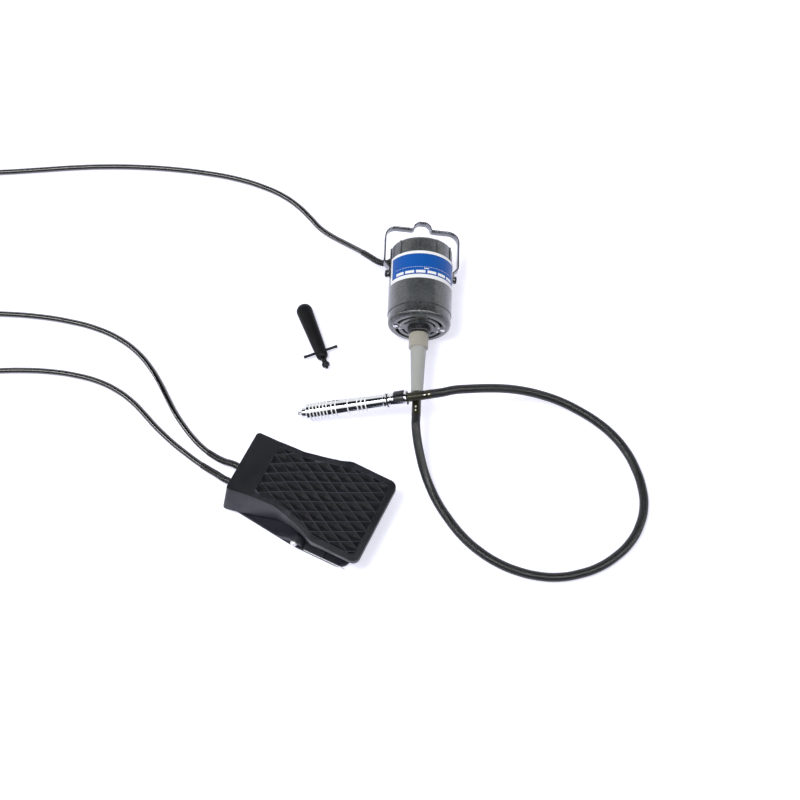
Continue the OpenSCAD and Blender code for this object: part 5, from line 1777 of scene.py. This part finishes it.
    def electrics(self) -> None:
        """The board, its heat sink, the speed pot and its plunger."""
        dress(refined("control_board", 0.0002, "driver_board"), "set", BOARD_GREEN, ("control_board",))
        dress(refined("heat_sink", 0.0002, "fin_block"), "set", FIN_ALUMINIUM, ("heat_sink",))
        dress(refined("speed_pot", 0.0005, "pot_case"), "set", POT_BLUE, ("speed_pot",))
        dress(refined("speed_plunger", 0.0003, "plunger_rod"), "plunger", PALE_NYLON, ("speed_plunger",))

    def build(self) -> None:
        """Builds and dresses the foot control."""
        for step in (self.treadle, self.tread, self.base, self.springs, self.electrics):
            step()


# ---------------------------------------------------------------- chuck key


@dataclass
class ChuckKey:
    """The chuck key, in its own millimetres along Z from the butt to the pilot.

    Attributes:
        butt: Radius of the handle at its butt.
        handle: Length of the handle.
        bar: Station of the crossbar.
        bar_length: Its length.
        bar_radius: Its radius.
    """

    butt: float = 12.35
    handle: float = 97.0
    bar: float = 85.0
    bar_length: float = 51.5
    bar_radius: float = 1.95

    def grip(self) -> None:
        """The handle: a round butt, a straight taper and a slightly swollen front."""
        taper = [(self.butt - 0.04 * z, z) for z in (17, 26, 36, 48, 62, 74)]
        profile = [(0, 4.6), *[(11.8 * math.sin(math.radians(a)), 16 - 11.4 * math.cos(math.radians(a)))
                               for a in range(10, 90, 10)], *taper,
                   (8.9, 81), (8.6, 85), (8.6, 89), (8.4, 92), (7.5, 94.6), (6, 96.4), (4, self.handle),
                   (0, self.handle)]
        body = lathe("key_grip", profile, 80)
        cut(body, peg("bar_hole", self.bar_radius, (0, -20, self.bar), (0, 20, self.bar), 24))
        dress(place(body, KEY_PLACE), "key", PHENOLIC, ("key_handle",))

    def cross_bar(self) -> None:
        """The crossbar with upset round ends."""
        half, r = self.bar_length / 2, self.bar_radius
        side = [(r, 0), (r, half - 4), (r + 0.35, half - 2.2), (r + 0.3, half - 0.9), (r - 0.4, half - 0.15),
                (0, half)]
        rod = lathe("tommy_bar", [*[(x, -y) for x, y in reversed(side)], *side[1:]], 32)
        dress(place(rod, KEY_PLACE @ Matrix.Translation((0, 0, self.bar)) @ turn("X", 90)), "key", BLACK_OXIDE,
              ("key_crossbar",))

    def build(self) -> None:
        """Builds and dresses the key."""
        self.grip()
        self.cross_bar()
        gear = lathe("pinion_head", [(0, 96), (3.7, 96), (3.7, 103.4), (4.9, 104), (5.75, 105.4), (5.75, 107.2),
                                     (4.9, 109.4), (2.6, 110.4), (2, 111), (2, 112.5), (1.5, 113), (0, 113)], 60)
        gap = place(block("gap", (-0.8, -0.8, 103), (0.8, 0.8, 111)), Matrix.Translation((5.75, 0, 0)) @ turn("Z", 45))
        cut(gear, join("gaps", copies(gap, [turn("Z", 36 * k) for k in range(10)])))
        dress(place(gear, KEY_PLACE), "key", BLACK_OXIDE, ("key_pinion",), 30)


# ---------------------------------------------------------------- building


def main() -> None:
    """Builds the scene in order."""
    logging.basicConfig(level=logging.INFO, format="%(name)s: %(message)s")
    studio = Studio()
    studio.camera()
    build_sheath()
    build_leads()
    for part in (Motor(), Bail(), ShaftEnds(), Handpiece(), Pedal(), ChuckKey()):
        part.build()
    studio.floor()
    studio.world()
    studio.soft_box()


if __name__ == "__main__":
    main()
